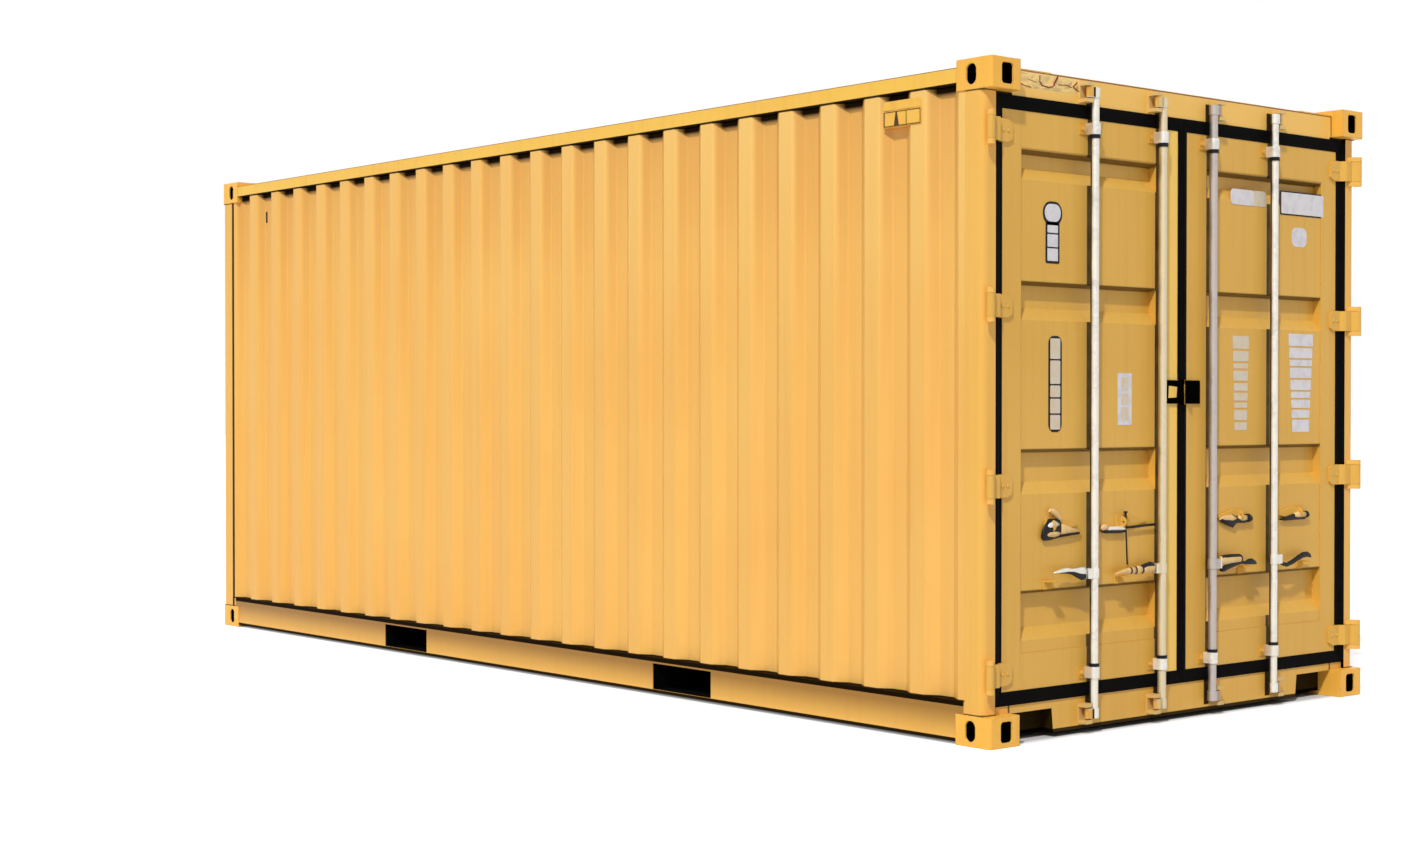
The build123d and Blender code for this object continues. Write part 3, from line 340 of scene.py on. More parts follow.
lay(*frame_layers, [
    # painted shade: black lines where the posts meet the castings
    (stain_and_shade, GRIME_AND_SHADE, ("away", 2473 - HALF_HEIGHT, 3.5, 3, 0.85), ("length", 3000, 108, 4)),
    # painted shade: the bottom rail's face darker towards its top, under the wall
    (coat, "#8A5C02", ("high", 165, 35, 100, 0.85), BETWEEN_CASTINGS, ("high", 80, 90, 1)),
    # painted shade: black lines along the bottom rail's top and bottom edges
    (stain_and_shade, MUD_AND_SHADE, ("high", 159, 9.5, 1, 0.98), BETWEEN_CASTINGS),
    (stain_and_shade, MUD_AND_SHADE, ("high", 18, 7, 1, 0.98), BETWEEN_CASTINGS),
    (stain_and_shade, MUD_AND_SHADE, ("along", -2914, 10, 2, 0.97), ("high", 80, 90, 2)),
    # painted shade: the posts' faces beside the door seals black
    (stain_and_shade, SOOT_AND_SHADE, ("across", 1140, 5, 1), ("along", 2960, 30, 2)),
])
lay(*end_layers, [
    (coat, "#FFCB66", ("high", 2510, 60, 20, 0.85)),
    (coat, "#FFD786", ("y", -838, 190, 6, 0.9), ("high", 2531, 32, 4)),
    (coat, "#6E1E08", ("high", RAIL_HEAD, 4, 1.5, 0.9), ("along", 2972, 6, 1)),
    (stain_and_shade, GRIME_AND_SHADE, ("across", 1055, 4, 3, 0.8)),
    # painted shade: black on the header's end under each top casting
    (stain_and_shade, SOOT_AND_SHADE, ("across", 1100, 58, 3, 0.97), ("high", 2450, 21, 3)),
    # painted shade: a black line along the sill's foot
    (stain_and_shade, SOOT_AND_SHADE, ("high", 24, 9, 1.5, 0.95)),
    (coat, "#D8BC80", ("along", 2996, 22, 1, 0.6)),
    # painted shadow and grease: black round each bar on the keepers, header and sill
    *[(stain_and_shade, SOOT_AND_SHADE, ("across", middle, 15, 3), BESIDE_BARS) for middle in BAR_PLACES],
    # painted shade: the recess beside each bottom casting black
    (stain_and_shade, SOOT_AND_SHADE, ("across", 926, 132, 2), ("high", 62, 52, 2), ("along", 2930, 40, 1, 0.97)),
])
print("dirt laid on", frame_paint.name, "and", end_paint.name)

# %% Painted shadows, shade and a highlight on doors and castings
GROOVES = ((386, 575), (946, 1117), (1614, 1760), (2150, 2262))     # mm, lower and upper edges on a door
BAR_GREASE_AND_SHADOW_WIDTH = 70           # mm
DOOR_FLATS = ("along", 2975, 10.2, 0.4)
DOOR_PANEL = (("across", 575, 409, 2), ("along", 2946, 20.2, 0.4))

# a noise that varies the strength of the bars' painted shadows and grease
bar_grease_and_shadow_noise = add(door_paint.node_tree, "TexNoise", {"Vector": door_layers[1]["place"],
                                                 "Scale": per_metre(BAR_GREASE_AND_SHADOW_WIDTH), "Detail": 4.0})
bar_grease_and_shadow_strength = add(door_paint.node_tree, "MapRange", {0: bar_grease_and_shadow_noise, "To Min": 0.8, "To Max": 1.0})
lay(*door_layers, [
    # painted shadow and grease: a black strip beside each bar on the door's flats
    *[(stain_and_shade, SOOT_AND_SHADE, ("y", side * middle + 8, 11, 3, 0.97), bar_grease_and_shadow_strength, DOOR_FLATS)
      for middle in BAR_PLACES for side in (-1, 1)],
    # painted shade: a dark line under each step of the panel's grooves
    *[(stain_and_shade, GRIME_AND_SHADE, *DOOR_PANEL, ("high", upper - 4, 5, 5, 0.8)) for lower, upper in GROOVES],
    # painted highlight: a lighter strip on the left door's lock stile
    (coat, "#FFD062", ("y", -72, 40, 6, 0.95)),
])
# painted shade: the hollow of every casting black
lay(*cast_layers, [(stain_and_shade, SOOT_AND_SHADE, ("length", 2940, 82, 1), ("across", 1138, 74, 1), ("away", 1236.5, 51, 1))])
print("dirt laid on", door_paint.name, "and", cast_paint.name)

# %% [markdown]
# ## Galvanised steel
#
# The locking bars, handles and brackets are hot-dip galvanised. Zinc freezes into crystals, called spangle,
# about 10 to 20 mm across, each a slightly different grey, and it dulls to a pale oxide outdoors. A Voronoi
# pattern gives the crystals their own tone, and a noise makes the oxide patches, which are rougher and less
# metallic. The side of a bar that faces the door is painted dark, by the direction that it faces on the bar:
# its grease, and its shade painted in. The cams' noses, the guides' feet and the fittings' ends were painted
# over with the doors, and a thin black line on each cam beside its bar is painted shade.

# %% Galvanised steel, bare, greasy with painted shade, and painted over
SPANGLE_WIDTH = 16      # mm
OXIDE_WIDTH = 120       # mm
CAM_ENDS = ("away", 1234, 36, 4)
BAR_TONES_PAINT_AND_SHADE = (
    *[(coat, "#DCA646", ("across", middle + 45, 22, 2, 0.97), CAM_ENDS) for middle in BAR_PLACES],
    # painted shade: a thin black line on each cam beside its bar
    *[(stain_and_shade, SOOT_AND_SHADE, ("across", middle + 20, 4, 1, 0.97), CAM_ENDS) for middle in BAR_PLACES],
    (coat, "#D6C190", ("y", -BAR_PLACES[0], 40, 2, 0.7)),
    (coat, "#A89C9A", ("y", BAR_PLACES[0], 40, 2, 0.7)),
)


def zinc(name, bright="#EAE7DF", dull="#D2D0C9", oxidised="#EFEBDF", greasy_shaded_back=0.0, marks_and_shade=(), painted=()):
    """Hot-dip zinc with spangle and oxide, greasy with painted shade behind, patched and painted over in
    bands.
    """
    material, tree, shader, place = start_material(name, dull)
    axes = container_axes(place)
    spangle = add(tree, "TexVoronoi", {"Vector": place, "Scale": per_metre(SPANGLE_WIDTH)}, "Color")
    coat(shader, add(tree, "SeparateColor", {0: spangle}), bright)
    clouds = add(tree, "TexNoise", {"Vector": place, "Scale": per_metre(OXIDE_WIDTH), "Detail": 5.0})
    oxide = add(tree, "MapRange", {0: clouds, "From Min": 0.40, "From Max": 0.66})
    coat(shader, oxide, oxidised)
    # the bar's back, facing the door, painted dark: its grease, and its shade painted in
    if greasy_shaded_back:
        outwards = add(tree, "SeparateXYZ", {0: add(tree, "TexCoord", {}, "Normal")})
        back = add(tree, "MapRange", {0: outwards, "From Min": -0.1, "From Max": 0.08, "To Min": greasy_shaded_back,
                                      "To Max": 0.0})
        stain_and_shade(shader, back, SOOT_AND_SHADE)
    lay(shader, axes, marks_and_shade)
    metal = add(tree, "MapRange", {0: oxide, "To Min": 0.7, "To Max": 0.3})
    for hex_colour, *place_mm in painted:
        cover = meeting(axes, [place_mm])
        stain_and_shade(shader, cover, hex_colour)
        metal = both(metal, outside(cover))
    rough = add(tree, "MapRange", {0: oxide, "To Min": 0.36, "To Max": 0.6})
    edge_normal = add(tree, "Bevel", {"samples": 4, "Radius": 1.5 * MM})
    bump = add(tree, "Bump", {"Strength": 0.3, "Distance": 0.3 * MM, "Height": clouds, "Normal": edge_normal})
    connect(shader, {"Metallic": metal, "Roughness": rough, "Normal": bump})
    return material


zinc_steel = zinc("galvanised_steel")
bar_steel = zinc("galvanised_bar_steel", "#ECE9E0", "#D8D5CC", "#F1ECDF", greasy_shaded_back=0.9, marks_and_shade=BAR_TONES_PAINT_AND_SHADE)
fitting_steel = zinc("painted_fitting_steel", painted=(
    ("#E2B050", "high", 594, 18.5, 1), ("#E5B354", "high", 822, 40, 1), (SOOT_AND_SHADE, "high", 1343, 60, 1)))
guide_steel = zinc("galvanised_guide_steel", painted=(("#DFA847", "along", 2971, 3.6, 1),))
print("steels", zinc_steel.name, fitting_steel.name, guide_steel.name, bar_steel.name)

# %% [markdown]
# ## Rubber, plywood, vent plastic, underseal and vinyl
#
# The door seals are extruded EPDM rubber, matt black with a little dust. The floor is marine plywood of
# tropical hardwood, oiled dark, with its grain along the container. The ventilators are moulded ABS,
# sprayed over with the walls. The base is coated with bitumen wax, nearly black, which is why the fork
# pockets read as black openings. Plates and films are matt vinyl, faded by the sun.

# %% Rubber, plywood, plastic, underseal and vinyl
DUST_WIDTH = 60         # mm
GRAIN_WIDTH = 7         # mm across the plywood's grain
GRAIN_LENGTH = 700      # mm along it


def matt(name, base, other, width, roughness, bump_mm=0.3, shine=0.5):
    """A matt finish in two tones, mixed by a cloudy noise."""
    material, tree, shader, place = start_material(name, base)
    clouds = add(tree, "TexNoise", {"Vector": place, "Scale": per_metre(width), "Detail": 6.0})
    coat(shader, add(tree, "MapRange", {0: clouds, "From Min": 0.45, "From Max": 0.75}), other)
    rough = add(tree, "MapRange", {0: clouds, "To Min": roughness - 0.08, "To Max": roughness + 0.12})
    bump = add(tree, "Bump", {"Strength": 0.4, "Distance": bump_mm * MM, "Height": clouds})
    connect(shader, {"Roughness": rough, "Normal": bump, "Specular IOR Level": shine})
    return material


def plywood(name, pale, dark):
    """Oiled hardwood plywood, its grain along the container."""
    material, tree, shader, place = start_material(name, dark)
    stretch = (per_metre(GRAIN_LENGTH), per_metre(GRAIN_WIDTH), per_metre(GRAIN_WIDTH))
    grain_place = add(tree, "Mapping", {"vector_type": "POINT", "Vector": place, "Scale": stretch})
    grain = add(tree, "TexNoise", {"Vector": grain_place, "Scale": 1.0, "Detail": 6.0, "Distortion": 0.6})
    coat(shader, grain, pale)
    bump = add(tree, "Bump", {"Strength": 0.4, "Distance": 0.5 * MM, "Height": grain})
    connect(shader, {"Roughness": 0.55, "Normal": bump})
    return material


rubber = matt("epdm_rubber", "#030202", "#0B0A09", DUST_WIDTH, 0.8, shine=0.06)
underseal = matt("bitumen_underseal", "#040303", "#090706", DUST_WIDTH, 0.8, bump_mm=1.0, shine=0.06)
# this black is also laid on lobes that stand for shadows under the hasps and handles, and on the fourth
# handle
black_iron = matt("greased_forged_steel_and_shadow", "#0B0A0A", "#171413", DUST_WIDTH, 0.5, shine=0.25)
vent_abs = matt("abs_moulding", "#F7C04C", "#EBB044", DUST_WIDTH, 0.45)
floor_ply = plywood("oiled_plywood", "#A87445", "#6E4326")
vinyl = matt("vinyl_film", "#E3DFE2", "#CFC9CE", 45, 0.45, bump_mm=0.4)
faded_vinyl = matt("faded_vinyl_film", "#DCD0BC", "#E0C498", 30, 0.5, bump_mm=0.4)
black_vinyl = matt("black_vinyl_film", "#101119", "#1D1E27", 45, 0.5, bump_mm=0.2, shine=0.2)
print("matt finishes", [m.name for m in (rubber, underseal, black_iron, vent_abs, floor_ply, vinyl)])

# %% [markdown]
# ## Finishes onto the solids
#
# A solid's own mesh stays as it is, and only its material slots are filled. The doors and the beams of
# their frame carry the ochre of the door end, the castings their coarse cast skin, and the base its
# underseal.

# %% Giving each solid its finish
FINISHES = (
    ("casting", cast_paint), ("lock_keepers", end_paint), ("locking_bar", bar_steel),
    ("bar_handle_3", black_iron), ("bar_handle_4", black_iron), ("bar_handle", zinc_steel),
    ("bar_guides", guide_steel), ("door_fittings", fitting_steel),
    ("door_gasket", rubber), ("crossmembers", underseal), ("fork_pocket", underseal), ("floor", floor_ply),
    ("ventilator", vent_abs), ("door_header", end_paint), ("door_sill", end_paint),
    ("door_", door_paint), ("hinge_blades", door_paint), ("top_side_rail", rail_paint),
    ("roof", rail_paint), ("side_wall", wall_paint), ("front_wall", wall_paint), ("", frame_paint),
)

for node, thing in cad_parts.items():
    finish = next(material for start, material in FINISHES if node.startswith(start))
    if not thing.material_slots:
        thing.data.materials.append(None)
    for slot in thing.material_slots:
        slot.material = finish
print("finished", len(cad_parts), "solids")

# %% [markdown]
# ## Small mesh tools
#
# The added pieces are small, many and alike. Each is made in a bmesh, in millimetres, and turned into an
# object once. A prism runs an outline along an axis, a tube sweeps a round section along a path, and a lobe
# is a swelling and narrowing body of oval rings, as a drop forging has. A bolt or a rivet stands on a
# surface. Left-hand pieces are drawn once and mirrored for the right.

# %% Prisms, tubes and lobes
def skin(mesh, rings, capped=True):
    """Joins rings of vertices one to the next, and closes both ends."""
    for near, far in zip(rings, rings[1:]):
        for k in range(len(near)):
            j = (k + 1) % len(near)
            mesh.faces.new((near[k], near[j], far[j], far[k]))
    if capped:
        mesh.faces.new(rings[0])
        mesh.faces.new(rings[-1])


def rectangle(a0, a1, b0, b1):
    """The outline of a rectangle."""
    return [(a0, b0), (a1, b0), (a1, b1), (a0, b1)]


def turns(sides):
    """The angles of a ring's corners."""
    return [2 * math.pi * k / sides for k in range(sides)]


def prism(mesh, outline, axis, start, end):
    """A closed outline in the other two axes, run along an axis from start to end."""
    rings = []
    for along in (start, end):
        places = [{"x": (along, a, b), "y": (a, along, b), "z": (a, b, along)}[axis] for a, b in outline]
        rings.append([mesh.verts.new(place) for place in places])
    skin(mesh, rings)


def tube(mesh, path, radii, sides=8):
    """A round section swept along a path, with closed ends. The radii are one for each point."""
    rings = []
    for i, (place, radius) in enumerate(zip(path, radii)):
        ahead = Vector(path[min(i + 1, len(path) - 1)]) - Vector(path[max(i - 1, 0)])
        turn = ahead.to_track_quat("Z", "Y")
        section = [Vector((radius * math.cos(a), radius * math.sin(a), 0)) for a in turns(sides)]
        rings.append([mesh.verts.new(Vector(place) + turn @ corner) for corner in section])
    skin(mesh, rings)


def lobe(mesh, rings, x, sides=16):
    """An oval body along Y: each ring is its place, its height, half its height and half its depth."""
    skin(mesh, [[mesh.verts.new((x + half_x * math.cos(a), y, z + half_z * math.sin(a)))
                 for a in turns(sides)] for y, z, half_z, half_x in rings])


print("prisms, tubes and lobes ready")

# %% Bolts and rivets
RIVET_DOME = 0.55       # a rivet's height, as a share of its radius
RIVET_STEPS = 4         # rings from its foot to its crown


def standing(place, outwards):
    """The matrix that stands a shape drawn upright on a surface that faces outwards."""
    return Matrix.Translation(place) @ Vector(outwards).to_track_quat("Z", "Y").to_matrix().to_4x4()


def bolt(mesh, place, outwards, across=16, height=8):
    """A hexagon head on a washer."""
    at = standing(place, outwards)
    washer, head = across * 0.85, across * 0.577
    bmesh.ops.create_cone(mesh, cap_ends=True, segments=20, radius1=washer, radius2=washer, depth=2,
                          matrix=at @ Matrix.Translation((0, 0, 1)))
    bmesh.ops.create_cone(mesh, cap_ends=True, segments=6, radius1=head, radius2=head * 0.93, depth=height,
                          matrix=at @ Matrix.Translation((0, 0, 2 + height / 2)))


def rivet(mesh, place, outwards, radius):
    """A domed rivet head."""
    at = standing(place, outwards)
    rings = []
    for rise in turns(RIVET_STEPS * 4)[:RIVET_STEPS]:
        across, height = radius * math.cos(rise), RIVET_DOME * radius * math.sin(rise)
        rings.append([mesh.verts.new(at @ Vector((across * math.cos(a), across * math.sin(a), height)))
                      for a in turns(12)])
    skin(mesh, rings)


print("a rivet of 9 mm radius stands", RIVET_DOME * 9, "mm high")

# %% Turning a mesh into a piece
def place_object(name, data):
    """A new object in the scene."""
    thing = bpy.data.objects.new(name, data)
    bpy.context.scene.collection.objects.link(thing)
    return thing


def piece(name, draw, material, body, slot=None, bevel=0.0, smooth=False, mirrored=False):
    """Draws a piece in millimetres, and turns it into an object that rides on a body."""
    mesh = bmesh.new()
    draw(mesh)
    if mirrored:
        bmesh.ops.scale(mesh, vec=(1, -1, 1), verts=mesh.verts)
    bmesh.ops.recalc_face_normals(mesh, faces=mesh.faces)
    bmesh.ops.scale(mesh, vec=(MM, MM, MM), verts=mesh.verts)
    data = bpy.data.meshes.new(name)
    mesh.to_mesh(data)
    mesh.free()
    data.materials.append(material)
    for face in data.polygons:
        face.use_smooth = smooth
    thing = place_object(name, data)
    if bevel:
        edges = thing.modifiers.new("edges", "BEVEL")
        edges.width, edges.segments, edges.limit_method = bevel * MM, 2, "ANGLE"
    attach(thing, body)
    return thing


def pair(name, draw, material, bodies, **finish):
    """Draws a left-hand piece twice, and mirrors the second one for the right."""
    piece(name + "_left", draw, material, bodies[0], **finish)
    piece(name + "_right", draw, material, bodies[1], mirrored=True, **finish)


def cad_mm(node):
    """A solid's lowest and highest corners in millimetres."""
    low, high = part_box(node)
    return [v / MM for v in low], [v / MM for v in high]


DOORS = ("left_door", "right_door")
BOX = ("container", "container")
print("the left rear post is between", *cad_mm("rear_post_left"))

# %% [markdown]
# ## Seal lips
#
# A door seal is a rubber extrusion clamped round the leaf, with a thin lip that wipes against the frame and
# hides the gap. The solid has only its plain core, because a lip that touches the frame can't be a rigid
# part. The lip is a long prism with a curved front, cut where the hinge blades and the seal lugs cross it.

# %% Rubber lips round each door
HINGE_HEIGHTS = (268, 982, 1663, 2327)
BLADE_HALF = 45.5
SIDE_LIP = [(2969.2, -1094), (2972, -1095.5), (2973.5, -1112), (2981.5, -1128), (2984.2, -1138),
            (2982.5, -1143.3), (2966, -1143.3), (2965.3, -1117.5), (2969.2, -1117.5)]
TOP_LIP = [(2969.2, 2410), (2971.8, 2411.5), (2973, 2424), (2977, 2440), (2978.5, 2455), (2977.5, 2463),
           (2974.5, 2463), (2974, 2459.6), (2966, 2459.6), (2965.3, 2420.5), (2969.2, 2420.5)]
FOOT_LIP = [(x, 2610 - z) for x, z in TOP_LIP]
CENTRE_LIP = [(2969.2, -29), (2971.5, -28.5), (2973.5, -22), (2977, -10), (2977, -3), (2974, -0.9),
              (2966, -2.2), (2965.3, -22.5), (2969.2, -22.5)]


def seal_lips(mesh):
    """The left door's lips: five lengths at the hinges, one above, one below and two at the centre."""
    marks = [155.0]
    for height in HINGE_HEIGHTS:
        marks += [height - BLADE_HALF, height + BLADE_HALF]
    marks.append(2455.0)
    for low, high in zip(marks[0::2], marks[1::2]):
        prism(mesh, SIDE_LIP, "z", low, high)
    for low, high in ((155, 1292), (1394, 2455)):
        prism(mesh, CENTRE_LIP, "z", low, high)
    prism(mesh, TOP_LIP, "y", -1143.3, -1)
    prism(mesh, FOOT_LIP, "y", -1143.3, -1)


pair("seal_lips", seal_lips, rubber, DOORS, slot="gasket_rubber", bevel=0.6)
print("seal lips on", DOORS)

# %% [markdown]
# ## Blank films and plates on the doors
#
# A container's doors carry data plates and self-adhesive vinyl. Here they are blank: pale fields with thin
# gaps, some on a dark backing. Vinyl is pressed on over the grooves of the panel, so each field is built as
# a thin sheet whose rows follow the panel's own profile. The wide plates at the top are stiff, and bridge
# the groove.

# %% The panel's profile, and a film that follows it
PANEL_X = 2966          # mm, the panel's outer flats
PANEL_DEEP = 2930
PANEL_SLOPE = 48
PANEL_STEP = 10


def panel_surface(z):
    """Where the panel's outer face is at a height."""
    for low, high in GROOVES:
        if low < z < high:
            sunk = min((z - low) / PANEL_SLOPE, (high - z) / PANEL_STEP, 1.0)
            return PANEL_X - (PANEL_X - PANEL_DEEP) * sunk
    return PANEL_X


def film(mesh, y0, y1, z0, z1, corner=4, lift=0.5, thick=0.7):
    """A thin rounded field on the door panel between two corners."""
    edges = [z for low, high in GROOVES for z in (low, low + PANEL_SLOPE, high - PANEL_STEP, high)
             if z0 < z < z1]
    rounds = [corner * (1 - math.cos(math.pi / 2 * i / 6)) for i in range(7)]
    rows = sorted(set([z0 + r for r in rounds] + [z1 - r for r in rounds] + edges))
    rings = []
    for z in rows:
        near = min(z - z0, z1 - z, corner)
        pull = corner - math.sqrt(max(corner ** 2 - (corner - near) ** 2, 0.0))
        x = panel_surface(z) + lift
        rings.append([mesh.verts.new(place) for place in ((x, y0 + pull, z), (x + thick, y0 + pull, z),
                                                          (x + thick, y1 - pull, z), (x, y1 - pull, z))])
    skin(mesh, rings)


print("the panel is", panel_surface(2200), "mm out at 2200 mm up, and", panel_surface(2000), "at 2000 mm")

# %% Films and plates
def films(name, fields, material, **settings):
    """Several fields as one object, on the door that the name ends with."""
    body = DOORS[name.endswith("right")]
    piece(name, lambda mesh: [film(mesh, *field, **settings) for field in fields], material, body)


def column(y0, y1, z0, z1, heights, gap=7, narrow=0.0):
    """Blank rows one above the other, their heights given as shares, narrowing towards the foot."""
    rows, z = [], z1
    scale = (z1 - z0 - gap * (len(heights) - 1)) / sum(heights)
    for height in heights:
        inset = narrow * (z1 - z) / (z1 - z0)
        rows.append((y0 + inset, y1 - inset, z - height * scale, z))
        z -= height * scale + gap
    return rows


def wide_plate(name, y0, y1, z0, z1, back, front, corner, material):
    """A stiff plate on the right door, standing on the flat below the groove."""
    rounds = [(y1 - corner, z1 - corner), (y0 + corner, z1 - corner), (y0 + corner, z0 + corner),
              (y1 - corner, z0 + corner)]
    outline = []
    for quarter, (y, z) in enumerate(rounds):
        for step in range(0, 91, 15):
            turn = math.radians(90 * quarter + step)
            outline.append((y + corner * math.cos(turn), z + corner * math.sin(turn)))
    piece(name, lambda mesh: prism(mesh, outline, "x", back, front), material, "right_door", bevel=0.3)


films("plate_backing_left", [(-858, -745, 1984, 2076, 44), (-842, -761, 1836, 1996, 8),
                             (-824, -746, 1184, 1557, 30)], black_vinyl)
films("plate_head_left", [(-848, -755, 1998, 2066, 32)], vinyl, lift=1.3)
films("plate_strip_left", column(-832, -771, 1846, 1984, (3, 5, 5), 6), vinyl, lift=1.3, corner=3)
films("plate_column_left", column(-814, -756, 1194, 1547, (7, 8, 4, 5, 5), 6), faded_vinyl,
      lift=1.3, corner=5)
films("plate_small_left", [(-407, -319, 1209, 1417, 6)], vinyl)
films("plate_small_fields_left", column(-386, -340, 1228, 1400, (5, 4, 5), 12), faded_vinyl,
      lift=1.3, corner=3)
films("film_rows_inner_right", column(349, 461, 1184, 1582, (5, 4, 2, 4, 3, 3, 2, 4, 3), 9, 14), faded_vinyl,
      corner=3)
films("film_rows_outer_right", column(749, 928, 1173, 1600, (6, 5, 3, 5, 5, 3, 4, 4, 6), 8, 30), vinyl,
      corner=4)
films("film_patch_right", [(768, 879, 1978, 2061, 30)], vinyl)
wide_plate("plate_wide_inner_right", 331, 583, 2136, 2202, 2966.3, 2967.6, 20, faded_vinyl)
wide_plate("plate_wide_inner_film_right", 331, 492, 2136, 2202, 2967.6, 2968.4, 20, vinyl)
wide_plate("plate_wide_backing_right", 684, 1008, 2112, 2216, 2966.3, 2967.6, 5, black_vinyl)
wide_plate("plate_wide_outer_right", 690, 1002, 2118, 2210, 2967.8, 2969.2, 4, vinyl)
print("films and plates placed")

# %% [markdown]
# ## Fasteners on the doors
#
# The hinge blades are riveted through the stiles, and the guides are bolted. The heads are small, but they
# catch the light and tell the size of the whole. Each bar runs in a black nylon bush that stands out of its
# guide.

# %% Rivets, bolts and nylon bushes
BLADE_FRONT = 2978.5    # mm
GUIDE_FRONT = 2974
DOOR_FACE = 2969
BAR_X = 3002
RIVETS_ACROSS = (-1098, -1068)
GUIDE_HEIGHTS = (240, 2370)
GUIDE_BOLT = 43         # mm, a guide's bolts to each side of its bar
BUSH_HEIGHTS = ((262.5, 276), (2332, 2347.5))
BUSH_BORE = 17.6        # mm, half
BUSH_OUTER = 21.5       # mm, half


def hinge_rivets(mesh):
    """Two rivets in each of the left door's blades."""
    for height in HINGE_HEIGHTS:
        for y in RIVETS_ACROSS:
            rivet(mesh, (BLADE_FRONT, y, height), (1, 0, 0), 8)


def guide_bolts(mesh):
    """Two bolts in the foot of each bar guide."""
    for y in BAR_PLACES:
        for height in GUIDE_HEIGHTS:
            for side in (-GUIDE_BOLT, GUIDE_BOLT):
                bolt(mesh, (GUIDE_FRONT, side - y, height), (1, 0, 0), 14, 7)


def ring_up(mesh, x, y, z0, z1, inner, outer):
    """A short upright pipe."""
    rings = [[mesh.verts.new((x + r * math.cos(a), y + r * math.sin(a), z)) for a in turns(24)]
             for r, z in ((inner, z0), (outer, z0), (outer, z1), (inner, z1))]
    skin(mesh, rings + rings[:1], capped=False)


def nylon_bushes(mesh):
    """The bushes below each upper guide and above each lower one."""
    for y in BAR_PLACES:
        for z0, z1 in BUSH_HEIGHTS:
            ring_up(mesh, BAR_X, -y, z0, z1, BUSH_BORE, BUSH_OUTER)


def lug_face(mesh):
    """The patch of door paint left on the left door's seal lug."""
    prism(mesh, [(-98, 1318), (-44, 1321), (-40, 1364), (-94, 1368)], "x", DOOR_FACE + 7.5, DOOR_FACE + 9)


piece("seal_lug_face_left", lug_face, door_paint, "left_door", slot="door_paint")
pair("hinge_rivets", hinge_rivets, door_paint, DOORS, slot="door_paint", smooth=True)
pair("guide_bolts", guide_bolts, door_paint, DOORS, slot="galvanised_steel")
pair("nylon_bushes", nylon_bushes, black_vinyl, DOORS, bevel=0.8)
print("fasteners and bushes placed")

# %% [markdown]
# ## Hasps above the handles
#
# Over each handle sits a hasp that a padlock or a seal goes through. The solid is its plain pressed plate,
# painted with the door. The real ones are drop forgings with a swelling nose, and each has been mended
# another way, so each gets its own oval lobes: cream and zinc ones, and black ones between and below, which
# are the grease in its recesses and the painted shadows under it.

# %% Placing lobes by how far they are from a bar
FIRST, SECOND = -592, -167      # mm, the left door's bars: 1 and 4 are the outer ones, 2 and 3 the inner ones
HASP_X = 2977                   # mm, the middle of a hasp's depth
HANDLE_X = 3002                 # mm, the middle of a handle's thickness


def forging(kind, part, number, material, *bodies):
    """Lobes as one piece, mirrored on the right door. Each ring starts with its distance from the bar."""
    bar = FIRST if number in (1, 4) else SECOND
    body, x = (f"handle_{number}", HANDLE_X) if kind == "handle" else (DOORS[number > 2], HASP_X)

    def draw(mesh):
        for rings in bodies:
            lobe(mesh, [(bar - out, *sizes) for out, *sizes in rings], x)

    return piece(f"{kind}_{part}_{number}", draw, material, body, slot="galvanised_steel", smooth=True,
                 mirrored=number > 2)


cream = matt("aged_cream_enamel", "#EBC585", "#DDB268", 50, 0.5)
print("the first bar is", -FIRST, "mm from the middle, and the second", -SECOND)

# %% The hasps' lobes and rods
# the black lobes are grease in the recesses and painted shadows under each hasp
HASPS = (
    ("nose", 1, cream, [(46, 795, 1.5, 2), (100, 800, 10, 8), (150, 805, 20, 12), (178, 807, 25, 14)],
     [(184, 792, 10, 11), (215, 790, 14, 14), (245, 790, 12, 12), (262, 788, 6, 7)],
     [(165, 838, 6, 6), (185, 858, 16, 9), (212, 876, 13, 9), (232, 882, 8, 7), (244, 878, 3, 3)]),
    ("head", 1, zinc_steel, [(188, 826, 10, 10), (215, 828, 17, 15), (242, 824, 13, 12), (256, 820, 6, 6)]),
    ("recess", 1, black_iron, [(60, 788, 4, 5), (120, 786, 7, 8), (178, 784, 9, 9)],
     [(172, 806, 27, 10), (182, 812, 38, 11), (240, 808, 42, 10), (270, 792, 26, 8), (280, 782, 10, 5)]),
    ("nose", 2, cream, [(314, 804, 9, 8), (330, 805, 13, 9), (346, 804, 12, 8), (356, 802, 2, 2)]),
    ("bar", 2, zinc_steel, [(207, 797, 7, 7), (212, 797, 8, 8), (310, 799, 8, 8), (318, 799, 6, 6)]),
    ("recess", 2, black_iron, [(208, 785, 4, 5), (230, 784, 6, 8), (330, 787, 6, 8), (350, 790, 3, 4)]),
    ("nose", 3, cream, [(77, 812, 2, 2), (110, 814, 12, 9), (160, 813, 16, 12), (190, 811, 8, 9)],
     [(198, 811, 9, 9), (230, 811, 14, 12), (264, 811, 13, 11)]),
    ("recess", 3, black_iron, [(88, 808, 8, 6), (130, 806, 20, 9), (172, 801, 28, 10), (194, 806, 15, 10),
                               (264, 808, 17, 9)],
     [(262, 811, 17, 13), (285, 811, 18, 13), (303, 808, 11, 8)]),
    ("nose", 4, cream, [(184, 811, 11, 11), (215, 813, 14, 13), (264, 813, 12, 12)]),
    ("recess", 4, black_iron, [(83, 797, 4, 4), (130, 799, 9, 7), (184, 805, 14, 9), (264, 806, 14, 9)],
     [(262, 813, 15, 13), (280, 814, 15, 12), (293, 810, 9, 7)]),
)


